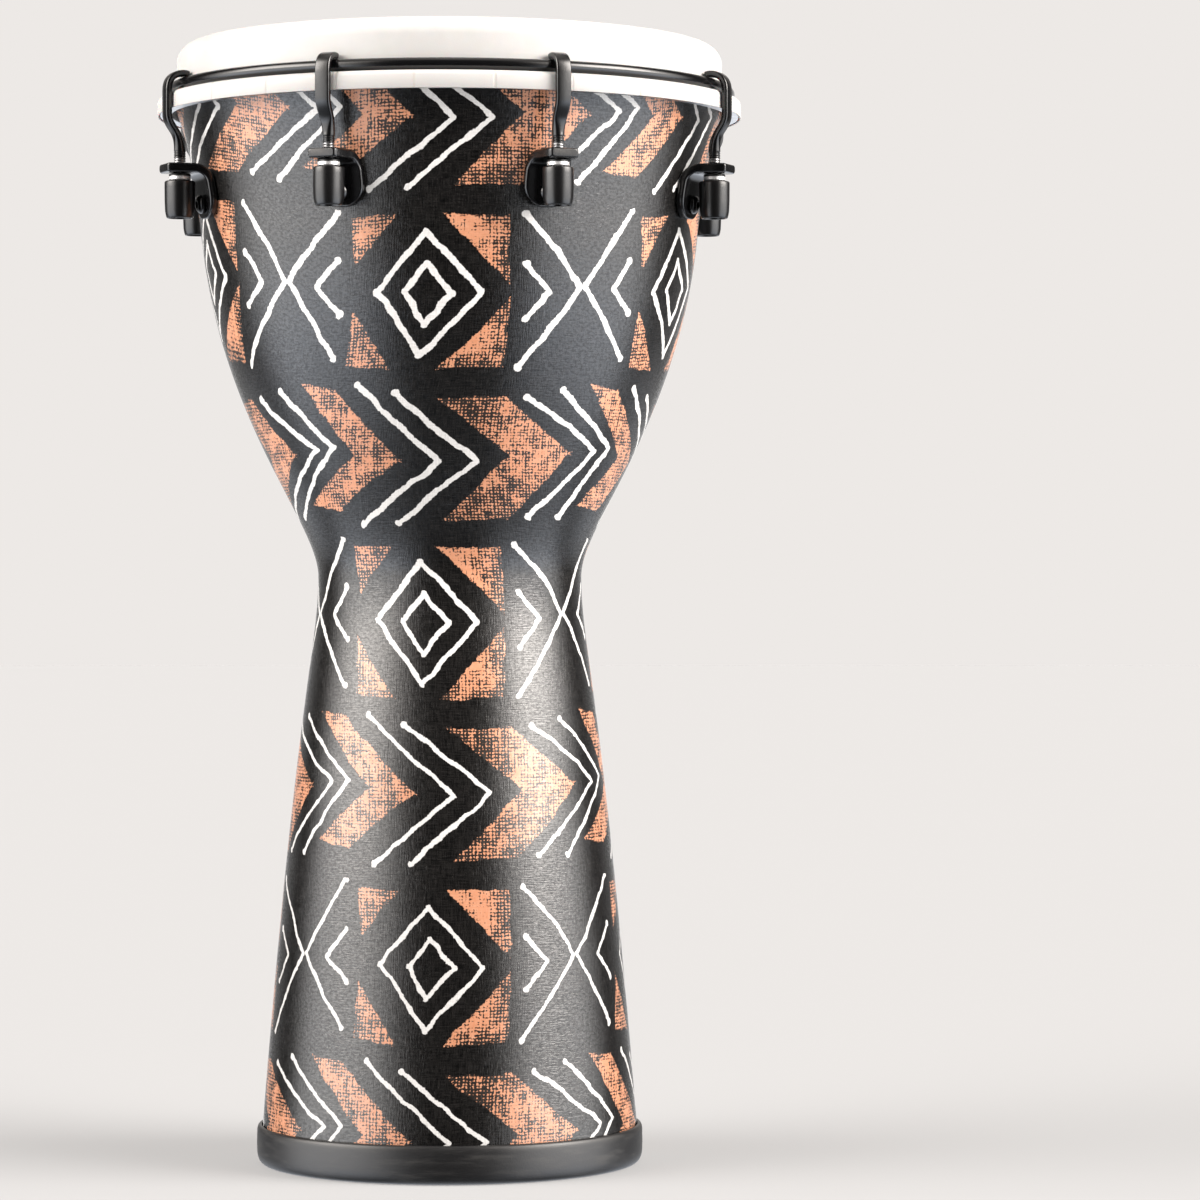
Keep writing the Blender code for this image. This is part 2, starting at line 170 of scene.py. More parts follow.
def turned(profile, segs, closed=True, shape=None, phase=0.0):
    """Revolve (radius, height) points about Z; shape(k, angle, radius) may vary a ring."""
    verts, rings = [], []
    for k, (r, z) in enumerate(profile):
        if r < 1e-6:
            rings.append([len(verts)])
            verts.append((0.0, 0.0, z))
        else:
            ring = []
            for i in range(segs):
                a = phase + 2 * math.pi * i / segs
                rr = shape(k, a, r) if shape else r
                ring.append(len(verts))
                verts.append((rr * math.cos(a), rr * math.sin(a), z))
            rings.append(ring)
    faces = []
    pairs = list(zip(rings, rings[1:]))
    if closed:
        pairs.append((rings[-1], rings[0]))
    for a, b in pairs:
        for i in range(segs):
            j = (i + 1) % segs
            if len(a) == 1 and len(b) == 1:
                continue
            if len(a) == 1:
                faces.append((a[0], b[i], b[j]))
            elif len(b) == 1:
                faces.append((a[i], b[0], a[j]))
            else:
                faces.append((a[i], b[i], b[j], a[j]))
    return verts, faces


def skin(rings):
    """Loft equal rings and cap both ends."""
    verts = [p for ring in rings for p in ring]
    n = len(rings[0])
    faces = []
    for k in range(len(rings) - 1):
        for i in range(n):
            j = (i + 1) % n
            faces.append((k * n + i, k * n + j, (k + 1) * n + j, (k + 1) * n + i))
    faces.append(tuple(range(n))[::-1])
    faces.append(tuple((len(rings) - 1) * n + i for i in range(n)))
    return verts, faces


def bar_section(width, thick, corner, roundness=0.0, radius=1.0, per=5):
    """Rounded bar section blended towards a circle, counter-clockwise."""
    out = []
    corner = min(corner, thick / 2 - 0.01, width / 2 - 0.01)
    for q in range(4):
        sx = 1 if q in (0, 3) else -1
        sy = 1 if q in (0, 1) else -1
        for j in range(per):
            a = math.radians(90 * q + 90 * j / (per - 1))
            rx = sx * (width / 2 - corner) + corner * math.cos(a)
            ry = sy * (thick / 2 - corner) + corner * math.sin(a)
            c = math.radians(90 * q + 90 * (j + 0.5) / per)
            cx, cy = radius * math.cos(c), radius * math.sin(c)
            out.append((rx + (cx - rx) * roundness, ry + (cy - ry) * roundness))
    return out


def bolt_matrix(angle):
    face = back_at(BOLT_Z) + PLATE_T + GAP
    return (Matrix.Rotation(angle, 4, "Z")
            @ Matrix.Translation(Vector((0.0, -face, BOLT_Z)) * MM)
            @ Matrix.Rotation(math.pi / 2 + LEAN, 4, "X"))


def rod_matrix(angle, z):
    return (Matrix.Rotation(angle, 4, "Z")
            @ Matrix.Translation(Vector((0.0, -ROD_R, z)) * MM))


def rods_cutter(name, jobs, radius, segs=28):
    bm = bmesh.new()
    for matrix, low, high in jobs:
        verts, faces = turned([(0.0, high), (radius, high), (radius, low), (0.0, low)],
                              segs, closed=False)
        part = bmesh.new()
        made = [part.verts.new(v) for v in verts]
        for f in faces:
            part.faces.new([made[i] for i in f])
        bmesh.ops.recalc_face_normals(part, faces=part.faces[:])
        bmesh.ops.scale(part, vec=(MM, MM, MM), verts=part.verts[:])
        bmesh.ops.transform(part, matrix=matrix, verts=part.verts[:])
        tmp = bpy.data.meshes.new("tmp")
        part.to_mesh(tmp)
        part.free()
        bm.from_mesh(tmp)
        bpy.data.meshes.remove(tmp)
    mesh = bpy.data.meshes.new(name)
    bm.to_mesh(mesh)
    bm.free()
    obj = bpy.data.objects.new(name, mesh)
    bpy.context.scene.collection.objects.link(obj)
    return obj


def cut(obj, *tools):
    """Apply exact boolean differences and keep the plain result."""
    for tool in tools:
        m = obj.modifiers.new("cut", "BOOLEAN")
        m.operation, m.solver, m.object = "DIFFERENCE", "EXACT", tool
    bpy.context.view_layer.update()
    graph = bpy.context.evaluated_depsgraph_get()
    mesh = bpy.data.meshes.new_from_object(obj.evaluated_get(graph))
    old = obj.data
    mats = [m for m in old.materials]
    obj.modifiers.clear()
    obj.data = mesh
    mesh.name = obj.name
    if not mesh.materials:
        for m in mats:
            mesh.materials.append(m)
    bpy.data.meshes.remove(old)


# ------------------------------------------------------------------ node helper
class Net:
    def __init__(self, tree):
        self.tree = tree
        self.n = 0

    def add(self, kind, **props):
        node = self.tree.nodes.new(kind)
        for k, v in props.items():
            setattr(node, k, v)
        node.location = ((self.n % 40) * 180, -(self.n // 40) * 260)
        self.n += 1
        return node

    def put(self, socket, value):
        if isinstance(value, bpy.types.NodeSocket):
            self.tree.links.new(value, socket)
        elif value is not None:
            socket.default_value = value

    def math(self, op, a, b=None, c=None, clamp=False):
        n = self.add("ShaderNodeMath", operation=op, use_clamp=clamp)
        for s, v in zip(n.inputs, (a, b, c)):
            if v is not None:
                self.put(s, v)
        return n.outputs[0]

    def vec(self, op, a, b=None, scale=None):
        n = self.add("ShaderNodeVectorMath", operation=op)
        self.put(n.inputs[0], a)
        if b is not None:
            self.put(n.inputs[1], b)
        if scale is not None:
            self.put(n.inputs["Scale"], scale)
        return n.outputs["Value"] if op in ("DOT_PRODUCT", "DISTANCE", "LENGTH") else n.outputs[0]

    def smooth(self, value, lo, hi, a=0.0, b=1.0, kind="SMOOTHSTEP"):
        n = self.add("ShaderNodeMapRange", interpolation_type=kind)
        self.put(n.inputs["Value"], value)
        for s, v in (("From Min", lo), ("From Max", hi), ("To Min", a), ("To Max", b)):
            self.put(n.inputs[s], v)
        return n.outputs["Result"]

    def noise(self, vector, scale, detail=2.0, rough=0.5, color=False, distortion=0.0):
        n = self.add("ShaderNodeTexNoise", noise_dimensions="3D")
        self.put(n.inputs["Vector"], vector)
        n.inputs["Scale"].default_value = scale
        n.inputs["Detail"].default_value = detail
        n.inputs["Roughness"].default_value = rough
        n.inputs["Distortion"].default_value = distortion
        return n.outputs["Color"] if color else n.outputs[0]

    def mixf(self, fac, a, b):
        n = self.add("ShaderNodeMix", data_type="FLOAT")
        self.put(n.inputs[0], fac)
        self.put(n.inputs[2], a)
        self.put(n.inputs[3], b)
        return n.outputs[0]

    def mixc(self, fac, a, b):
        n = self.add("ShaderNodeMix", data_type="RGBA")
        self.put(n.inputs[0], fac)
        self.put(n.inputs[6], a if isinstance(a, bpy.types.NodeSocket) else (*a, 1.0))
        self.put(n.inputs[7], b if isinstance(b, bpy.types.NodeSocket) else (*b, 1.0))
        return n.outputs[2]

    def xyz(self, vector):
        n = self.add("ShaderNodeSeparateXYZ")
        self.put(n.inputs[0], vector)
        return n.outputs[0], n.outputs[1], n.outputs[2]

    def combine(self, x=0.0, y=0.0, z=0.0):
        n = self.add("ShaderNodeCombineXYZ")
        for s, v in zip(n.inputs, (x, y, z)):
            self.put(s, v)
        return n.outputs[0]

    def bump(self, height, strength, distance, normal=None):
        n = self.add("ShaderNodeBump")
        self.put(n.inputs["Height"], height)
        n.inputs["Strength"].default_value = strength
        n.inputs["Distance"].default_value = distance
        if normal is not None:
            self.put(n.inputs["Normal"], normal)
        return n.outputs[0]

    def coord(self, name="Object"):
        return self.add("ShaderNodeTexCoord").outputs[name]


def new_material(name):
    mat = bpy.data.materials.new(name)
    mat.use_nodes = True
    net = Net(mat.node_tree)
    return mat, net, mat.node_tree.nodes["Principled BSDF"]


def fixed(bsdf, **values):
    for k, v in values.items():
        bsdf.inputs[k.replace("_", " ")].default_value = v


# ------------------------------------------------------------------ printed cloth
PITCH_U, PITCH_V = 140.2, 154.3           # repeat of the print, in millimetres
ROW_V = 91.5                              # height of a diamond row along the cloth

STROKES = []
ENDS = []                                 # brush-loaded ends of the open strokes


def stroke(*points, over=0.0):
    pts = [np.array(p, float) for p in points]
    if over == 0.0:
        ENDS.extend((pts[0], pts[-1]))
    for a, b in zip(pts, pts[1:]):
        d = (b - a) / np.linalg.norm(b - a)
        STROKES.append((a - d * over, b + d * over))


CH = PITCH_V / 2                          # chevron row above a diamond row
stroke((0.4, 26.7), (24.6, -0.3), (-0.6, -28.2), (-21.9, 1.0), (0.4, 26.7), over=0.4)
stroke((0.8, 12.6), (11.6, -0.2), (-0.3, -14.2), (-9.0, 0.2), (0.8, 12.6), over=0.3)
stroke((44.5, 34.8), (59.4, 19.8), (71.4, 3.4), (57.6, -14.6), (44.0, -33.0))
stroke((100.5, 37.6), (86.6, 20.6), (73.4, 3.6), (87.0, -13.0), (99.0, -28.5))
stroke((45.0, 12.9), (56.2, 1.3), (45.0, -11.0))
stroke((100.1, 16.0), (89.3, 3.0), (101.0, -7.7))
stroke((-27.0, CH + 35.2), (12.7, CH - 1.0), (-24.6, CH - 31.5))
stroke((-9.6, CH + 31.2), (29.7, CH - 0.5), (-7.5, CH - 31.3))
stroke((50.5, CH + 30.1), (91.6, CH + 4.6), (52.4, CH - 28.2))
stroke((67.2, CH + 33.5), (102.0, CH + 6.0), (69.5, CH - 28.5))

PATCHES = [
    [(-33.2, 34.9), (-12.3, 34.2), (-31.8, 12.7)],
    [(8.2, 34.0), (37.6, 34.1), (37.4, 3.2)],
    [(-33.1, -6.5), (-13.4, -34.6), (-34.3, -32.5)],
    [(37.5, -2.1), (36.8, -33.5), (7.3, -35.0)],
    [(9.5, CH + 29.3), (39.8, CH + 29.8), (76.6, CH + 2.2), (45.1, CH + 1.4)],
    [(45.1, CH + 3.0), (76.6, CH + 3.8), (42.3, CH - 29.6), (12.0, CH - 30.5)],
    [(-58.0, CH + 36.4), (-39.7, CH + 34.4), (-4.0, CH - 1.1), (-26.3, CH + 0.9)],
    [(-26.3, CH + 2.5), (-4.0, CH + 0.5), (-38.3, CH - 25.0), (-58.0, CH - 22.0)],
]


def half_planes(poly):
    c = np.mean(np.array(poly), axis=0)
    out = []
    for a, b in zip(poly, poly[1:] + poly[:1]):
        a, b = np.array(a), np.array(b)
        n = np.array([b[1] - a[1], a[0] - b[0]])
        n = n / np.linalg.norm(n)
        if n @ (c - a) > 0:
            n = -n
        out.append((float(n[0]), float(n[1]), float(-(n @ a))))
    return out


def print_pattern(net):
    """Colour of the print, with painted shade darker down the stem, and a few masks, from the cloth's own
    coordinates.
    """
    uv = net.add("ShaderNodeUVMap", uv_map="cloth").outputs[0]
    mm = net.vec("SCALE", uv, scale=1000.0)
    soft = net.vec("SUBTRACT", net.noise(mm, 0.085, 1.0, 0.5, color=True), (0.5, 0.5, 0.5))
    fine = net.vec("SUBTRACT", net.noise(mm, 0.55, 1.0, 0.6, color=True), (0.5, 0.5, 0.5))
    moved = net.vec("ADD", mm, net.vec("SCALE", soft, scale=3.4))
    moved = net.vec("ADD", moved, net.vec("SCALE", fine, scale=0.9))
    u, v, _ = net.xyz(moved)

    v_l = net.math("FLOORED_MODULO", net.math("ADD", v, -ROW_V + PITCH_V / 4), PITCH_V)
    v_l = net.math("SUBTRACT", v_l, PITCH_V / 4)
    is_c = net.math("GREATER_THAN", v_l, PITCH_V / 4)
    dv = net.math("ABSOLUTE", net.math("SUBTRACT", v_l, CH + 3.0))
    shear = net.math("MULTIPLY", net.math("MULTIPLY", dv, 1.12), is_c)
    low = net.math("MULTIPLY_ADD", is_c, 4.1, -36.0)
    u_l = net.math("SUBTRACT", net.math("ADD", u, shear), low)
    u_l = net.math("FLOORED_MODULO", u_l, PITCH_U)
    u_l = net.math("SUBTRACT", net.math("ADD", u_l, low), shear)
    p = net.combine(u_l, v_l, 1.0)

    near = None
    for a, b in STROKES:
        ba = b - a
        pa = net.vec("SUBTRACT", p, (float(a[0]), float(a[1]), 1.0))
        k = ba / (ba @ ba)
        h = net.math("MULTIPLY", net.vec("DOT_PRODUCT", pa, (float(k[0]), float(k[1]), 0.0)),
                     1.0, clamp=True)
        along = net.vec("SCALE", (float(ba[0]), float(ba[1]), 0.0), scale=h)
        d = net.vec("DISTANCE", pa, along)
        near = d if near is None else net.math("MINIMUM", near, d)
    grain = net.noise(mm, 0.33, 2.0, 0.6)
    for e in ENDS:
        d = net.math("SUBTRACT", net.vec("DISTANCE", p, (float(e[0]), float(e[1]), 1.0)), 0.50)
        near = net.math("MINIMUM", near, d)
    brush = net.math("SUBTRACT", net.smooth(v, 150.0, 330.0, 0.38, 0.75), net.smooth(v, 425.0, 450.0, 0.0, 0.20))
    half = net.math("MULTIPLY_ADD", grain, 1.1, brush)
    edge = net.math("SUBTRACT", near, half)
    white = net.smooth(edge, 0.16, -0.16)

    area = None
    for poly in PATCHES:
        sd = None
        for n in half_planes(poly):
            d = net.vec("DOT_PRODUCT", p, n)
            sd = d if sd is None else net.math("MAXIMUM", sd, d)
        area = sd if area is None else net.math("MINIMUM", area, sd)
    rag = net.noise(mm, 0.8, 2.0, 0.6)
    area = net.math("ADD", area, net.math("MULTIPLY_ADD", rag, 2.2, -1.0))
    orange = net.smooth(area, 0.2, -0.2)

    # worn black marks over the orange
    right = net.math("GREATER_THAN", u_l, 3.0)
    cvv = net.math("SUBTRACT", v_l, CH)
    d_right = net.math("MAXIMUM", net.smooth(u_l, 21.0, 37.5), net.smooth(v_l, -22.0, -35.0))
    d_right = net.math("MULTIPLY_ADD", d_right, 0.60, 0.20)
    d_dia = net.mixf(right, 0.66, d_right)
    c_r = net.math("MULTIPLY", net.smooth(cvv, 5.0, 17.0), net.smooth(u_l, 46.0, 26.0))
    c_r = net.math("MULTIPLY_ADD", c_r, 0.42, 0.50)
    c_r = net.math("ADD", c_r, net.math("MULTIPLY", net.smooth(cvv, -4.0, -18.0), 0.27))
    column = net.smooth(net.math("ABSOLUTE", net.math("ADD", u_l, 16.5)), 3.2, 0.0)
    c_l = net.math("MULTIPLY_ADD", column, 0.28, 0.52)
    d_chev = net.mixf(right, c_l, c_r)
    density = net.mixf(is_c, d_dia, d_chev)
    blot = net.noise(mm, 0.13, 3.0, 0.6)
    density = net.math("ADD", density, net.math("MULTIPLY_ADD", blot, 2.3, -1.13))
    wob = net.vec("SCALE", fine, scale=1.3)
    lu, lv, _ = net.xyz(net.vec("ADD", mm, wob))
    cu = net.math("COSINE", net.math("MULTIPLY", lu, 2 * math.pi / 1.58))
    cv = net.math("COSINE", net.math("MULTIPLY", lv, 2 * math.pi / 1.50))
    grid = net.math("MULTIPLY", net.math("MAXIMUM", cu, cv), 0.80)
    lattice = net.math("MULTIPLY_ADD", net.math("MINIMUM", cu, cv), 0.30, grid)
    speck = net.noise(net.vec("MULTIPLY", mm, (0.8, 1.0, 1.0)), 0.75, 2.0, 0.6)
    lattice = net.math("ADD", lattice, net.math("MULTIPLY_ADD", speck, 4.2, -2.1))
    warp = net.noise(net.vec("MULTIPLY", mm, (0.62, 0.07, 1.0)), 1.0, 1.0, 0.5)
    weft = net.noise(net.vec("MULTIPLY", mm, (0.09, 0.66, 1.0)), 1.0, 1.0, 0.5)
    lattice = net.math("ADD", lattice, net.math("MULTIPLY_ADD", warp, 2.6, -1.3))
    lattice = net.math("ADD", lattice, net.math("MULTIPLY_ADD", weft, 1.8, -0.9))
    limit = net.math("MULTIPLY_ADD", density, -2.0, 1.45)
    marks = net.smooth(net.math("SUBTRACT", lattice, limit), -0.25, 0.35)

    # thread-scale unevenness of the dye, and a painted highlight on the orange's raised threads
    streak_u = net.noise(net.vec("MULTIPLY", mm, (0.16, 2.3, 1.0)), 1.0, 2.0, 0.6)
    streak_v = net.noise(net.vec("MULTIPLY", mm, (2.3, 0.16, 1.0)), 1.0, 2.0, 0.6)
    weave = net.math("ADD", streak_u, streak_v)
    fleck = net.smooth(net.noise(mm, 1.15, 2.0, 0.7), 0.62, 0.78)
    black_a = net.mixc(net.smooth(weave, 0.75, 1.25), (0.0010, 0.0010, 0.0011),
                       (0.0120, 0.0112, 0.0108))
    black = net.mixc(net.math("MULTIPLY", fleck, 0.55), black_a, (0.040, 0.036, 0.033))
    peach = net.mixc(net.noise(mm, 0.25, 2.0, 0.6), (0.46, 0.178, 0.086), (0.56, 0.270, 0.162))
    # painted highlight: the orange's raised threads are given a paler colour
    peach = net.mixc(net.smooth(weave, 0.8, 1.3, 0.0, 0.30), peach, (0.62, 0.37, 0.26))
    bare = net.mixc(net.smooth(weave, 0.75, 1.25), (0.54, 0.539, 0.535), (0.66, 0.658, 0.655))
    colour = net.mixc(orange, black, net.mixc(marks, peach, (0.020, 0.016, 0.014)))
    colour = net.mixc(white, colour, bare)
    # painted shade: the whole print is scaled darker down the stem and lighter up the bowl, standing in for how
    # the light falls on it
    colour = net.vec("SCALE", colour, scale=net.smooth(v, 80.0, 305.0, 0.99, 1.32, "LINEAR"))
    return colour, white, orange, weave, mm


def cloth_material():
    mat, net, bsdf = new_material("printed_cloth_look")
    colour, white, orange, weave, mm = print_pattern(net)
    net.put(bsdf.inputs["Base Color"], colour)
    rough = net.math("MULTIPLY_ADD", weave, 0.10, 0.45)
    net.put(bsdf.inputs["Roughness"], rough)
    lumps = net.noise(mm, 0.12, 2.0, 0.5)
    height = net.math("MULTIPLY_ADD", weave, 0.48, net.math("MULTIPLY", lumps, 0.42))
    net.put(bsdf.inputs["Normal"], net.bump(height, 0.55, 0.00012))
    net.put(bsdf.inputs["Coat Normal"], net.bump(height, 1.0, 0.00018))
    sunk = net.noise(net.vec("MULTIPLY", mm, (0.55, 0.85, 1.0)), 1.0, 3.0, 0.7)
    net.put(bsdf.inputs["Coat Weight"], net.smooth(sunk, 0.36, 0.62, 0.60, 1.0))
    fixed(bsdf, IOR=1.15, Coat_Roughness=0.135, Coat_IOR=1.70)
    return mat


# ------------------------------------------------------------------ other finishes
def fibre_material():
    mat, net, bsdf = new_material("moulded_fibre_look")
    p = net.vec("SCALE", net.coord(), scale=1000.0)
    big = net.noise(p, 0.02, 3.0, 0.6)
    fib = net.noise(net.vec("MULTIPLY", p, (0.9, 0.9, 0.12)), 1.0, 3.0, 0.65, distortion=0.6)
    base = net.mixc(net.smooth(fib, 0.3, 0.7), (0.157, 0.096, 0.057), (0.307, 0.202, 0.123))
    base = net.mixc(net.smooth(big, 0.35, 0.7, 0.0, 0.5), base, (0.112, 0.072, 0.048))
    net.put(bsdf.inputs["Base Color"], base)
    net.put(bsdf.inputs["Roughness"], net.math("MULTIPLY_ADD", fib, 0.25, 0.50))
    net.put(bsdf.inputs["Normal"], net.bump(fib, 0.5, 0.0004))
    return mat


def rubber_material():
    mat, net, bsdf = new_material("foot_rubber_look")
    p = net.vec("SCALE", net.coord(), scale=1000.0)
    grain = net.noise(p, 1.1, 3.0, 0.6)
    scuff = net.noise(net.vec("MULTIPLY", p, (0.05, 0.05, 0.35)), 1.0, 3.0, 0.6)
    base = net.mixc(net.smooth(scuff, 0.45, 0.8), (0.0075, 0.0075, 0.0082), (0.024, 0.0232, 0.0225))
    net.put(bsdf.inputs["Base Color"], base)
    net.put(bsdf.inputs["Roughness"], net.math("MULTIPLY_ADD", scuff, 0.22, 0.30))
    net.put(bsdf.inputs["Normal"], net.bump(grain, 0.35, 0.00012))
    fixed(bsdf, IOR=1.54)
    return mat


def film_material():
    mat, net, bsdf = new_material("head_film_look")
    obj = net.coord()
    p = net.vec("SCALE", obj, scale=1000.0)
    x, y, z = net.xyz(p)
    r = net.math("SQRT", net.math("ADD", net.math("MULTIPLY", x, x), net.math("MULTIPLY", y, y)))
    turn = net.math("ARCTAN2", x, net.math("MULTIPLY", y, -1.0))
    part = net.math("MULTIPLY", net.math("SUBTRACT", turn, math.radians(9.7)), 24 / (2 * math.pi))
    off = net.math("ABSOLUTE", net.math("SUBTRACT", net.math("FRACT", net.math("ADD", part, 0.5)), 0.5))
    mm_off = net.math("MULTIPLY", off, 2 * math.pi * COLLAR_R / 24)
    collar = net.smooth(r, COLLAR_R - 4.0, COLLAR_R - 1.2)
    pleat = net.math("MULTIPLY", net.smooth(mm_off, 1.0, 0.15), collar)
    mottle = net.noise(p, 0.06, 3.0, 0.55)
    coat = net.noise(p, 1.6, 2.0, 0.6)
    worn = net.smooth(r, 86.0, 104.0)
    base = net.mixc(net.smooth(mottle, 0.3, 0.7), (0.532, 0.527, 0.522), (0.586, 0.582, 0.578))
    base = net.mixc(net.math("MULTIPLY", worn, 0.25), base, (0.585, 0.583, 0.579))
    base = net.mixc(net.math("MULTIPLY", collar, 0.8), base, (0.582, 0.574, 0.565))
    play = net.math("MULTIPLY", net.smooth(r, 114.0, 99.0), net.math("MULTIPLY_ADD", coat, 0.5, 0.55))
    base = net.mixc(play, base, (0.375, 0.371, 0.366))
    base = net.mixc(net.math("MULTIPLY", pleat, 0.55), base, (0.50, 0.475, 0.445))
    net.put(bsdf.inputs["Base Color"], base)
    net.put(bsdf.inputs["Roughness"], net.math("MULTIPLY_ADD", mottle, 0.18, 0.38))
    height = net.math("SUBTRACT", net.math("MULTIPLY", coat, 0.25), pleat)
    net.put(bsdf.inputs["Normal"], net.bump(height, 0.5, 0.0003))
    fixed(bsdf, IOR=1.50, Subsurface_Weight=0.12, Subsurface_Scale=0.002)
    return mat


def black_material(name, rough, peel, tint=(0.010, 0.010, 0.011), coat=0.0):
    mat, net, bsdf = new_material(name)
    p = net.vec("SCALE", net.coord(), scale=1000.0)
    orange_peel = net.noise(p, 0.75, 2.0, 0.5)
    dust = net.noise(p, 2.6, 3.0, 0.65)
    base = net.mixc(net.smooth(dust, 0.55, 0.85), tint, tuple(c * 2.2 for c in tint))
    net.put(bsdf.inputs["Base Color"], base)
    net.put(bsdf.inputs["Roughness"], net.math("MULTIPLY_ADD", dust, 0.10, rough))
    net.put(bsdf.inputs["Normal"], net.bump(orange_peel, peel, 0.0002))
    fixed(bsdf, IOR=1.58, Coat_Weight=coat, Coat_Roughness=0.08)
    return mat


def hook_material():
    """Gloss black strap, bare steel thread above the flange, dark thread below it."""
    mat, net, bsdf = new_material("hook_steel_look")
    obj = net.coord()
    p = net.vec("SCALE", obj, scale=1000.0)
    _, _, z = net.xyz(p)
    peel = net.noise(p, 0.75, 2.0, 0.5)
    ragged = net.math("ADD", z, net.math("MULTIPLY", peel, 1.2))
    bare = net.math("MULTIPLY", net.smooth(ragged, 458.4, 458.0), net.smooth(ragged, 449.0, 449.6))
    tool = net.noise(net.vec("MULTIPLY", p, (0.6, 0.6, 5.0)), 1.0, 2.0, 0.5)
    steel = net.mixc(net.smooth(tool, 0.3, 0.7), (0.24, 0.24, 0.247), (0.51, 0.51, 0.518))
    base = net.mixc(bare, (0.004, 0.004, 0.0045), steel)
    net.put(bsdf.inputs["Base Color"], base)
    net.put(bsdf.inputs["Metallic"], bare)
    net.put(bsdf.inputs["Roughness"], net.mixf(bare, net.math("MULTIPLY_ADD", peel, 0.10, 0.16), 0.36))
    net.put(bsdf.inputs["Normal"], net.bump(peel, 0.10, 0.0002))
    fixed(bsdf, IOR=1.58)
    return mat


def washer_material():
    """Plated lower disc; its upper face is painted near-black as the shadow under the flange."""
    mat, net, bsdf = new_material("nut_washer_look")
    p = net.vec("SCALE", net.coord(), scale=1000.0)
    _, _, z = net.xyz(p)
    grain = net.noise(p, 2.0, 3.0, 0.6)
    # painted shadow: above this height the washer is painted near-black for the shade under the flange; only the
    # lower disc shows the plating
    plated_below_painted_shadow = net.smooth(net.math("ADD", z, net.math("MULTIPLY", grain, 0.3)), 449.55, 449.35)
    net.put(bsdf.inputs["Base Color"], net.mixc(plated_below_painted_shadow, (0.01, 0.01, 0.01), (0.97, 0.97, 0.97)))
    net.put(bsdf.inputs["Metallic"], net.math("MULTIPLY", plated_below_painted_shadow, 0.75))
    net.put(bsdf.inputs["Roughness"], net.math("MULTIPLY_ADD", grain, 0.16, 0.34))
    net.put(bsdf.inputs["Normal"], net.bump(grain, 0.15, 0.0001))
    return mat


def metal_material(name, dark, light, rough, scale=(2.0, 2.0, 2.0)):
    mat, net, bsdf = new_material(name)
    p = net.vec("SCALE", net.coord(), scale=1000.0)
    grain = net.noise(net.vec("MULTIPLY", p, scale), 1.0, 3.0, 0.6)
    stain = net.noise(p, 0.25, 2.0, 0.5)
    base = net.mixc(net.smooth(stain, 0.35, 0.7), dark, light)
    net.put(bsdf.inputs["Base Color"], base)
    net.put(bsdf.inputs["Roughness"], net.math("MULTIPLY_ADD", grain, 0.16, rough))
    net.put(bsdf.inputs["Normal"], net.bump(grain, 0.15, 0.0001))
    fixed(bsdf, Metallic=1.0)
    return mat


CLOTH = cloth_material()
FIBRE = fibre_material()
RUBBER = rubber_material()
FILM = film_material()
GLOSS = black_material("black_steel_look", 0.12, 0.10, (0.004, 0.004, 0.0045))
SATIN = black_material("nut_steel_look", 0.24, 0.10, (0.005, 0.005, 0.0055))
HOOK = hook_material()
ZINC = metal_material("bright_zinc_look", (0.66, 0.66, 0.68), (0.82, 0.82, 0.83), 0.14)
WASHER = washer_material()
ALU = metal_material("hoop_aluminium_look", (0.60, 0.61, 0.62), (0.74, 0.75, 0.76), 0.28)


# ------------------------------------------------------------------ cloth in four panels
BOLT_HOLES = rods_cutter("bolt_holes", [(bolt_matrix(a), -24.0, 8.0) for a in LUG_ANGLES],
                         BOLT_HOLE_R)
ROD_HOLES = rods_cutter("rod_holes", [(rod_matrix(a, 0.0), FLANGE_TOP - 12.0, FLANGE_TOP + 6.0)
                                      for a in LUG_ANGLES], BORE_R)

ROW_SHIFT_V = [14.3, 91.5, 168.7, 245.8, 323.0, 400.1, 477.2]
ROW_SHIFT_U = [-2.2, 1.2, 0.0, -1.2, -6.4, 0.2, 0.0]
CLIMB_U = [-170.0, -127.0, -98.0, -68.0, -40.0, -15.0, 95.0, 115.0, 130.0, 180.0]
CLIMB_V = [20.0, 13.0, 8.5, 2.6, -1.8, 0.0, 0.0, 2.0, 4.0, 10.0]


def cloth_uv(r, v, az):
    """Where a point of the glued cloth lies in the printed roll, in millimetres."""
    k = np.interp(v, ROW_SHIFT_V, np.arange(7.0))
    i = np.clip(np.floor(k), 0, 5).astype(int)
    t = k - i
    t = t * t * (3 - 2 * t)
    a = np.array(ROW_SHIFT_U)
    shift = a[i] * (1 - t) + a[i + 1] * t
    u = r * (az - VIEW_AZ) + 11.0 - shift
    # on the widening bowl the flat cloth's rows climb away from the front
    climb = np.interp(u, CLIMB_U, CLIMB_V)
    w = np.clip((v - 345.0) / 50.0, 0.0, 1.0)
    return u, v - climb * w * w * (3 - 2 * w)


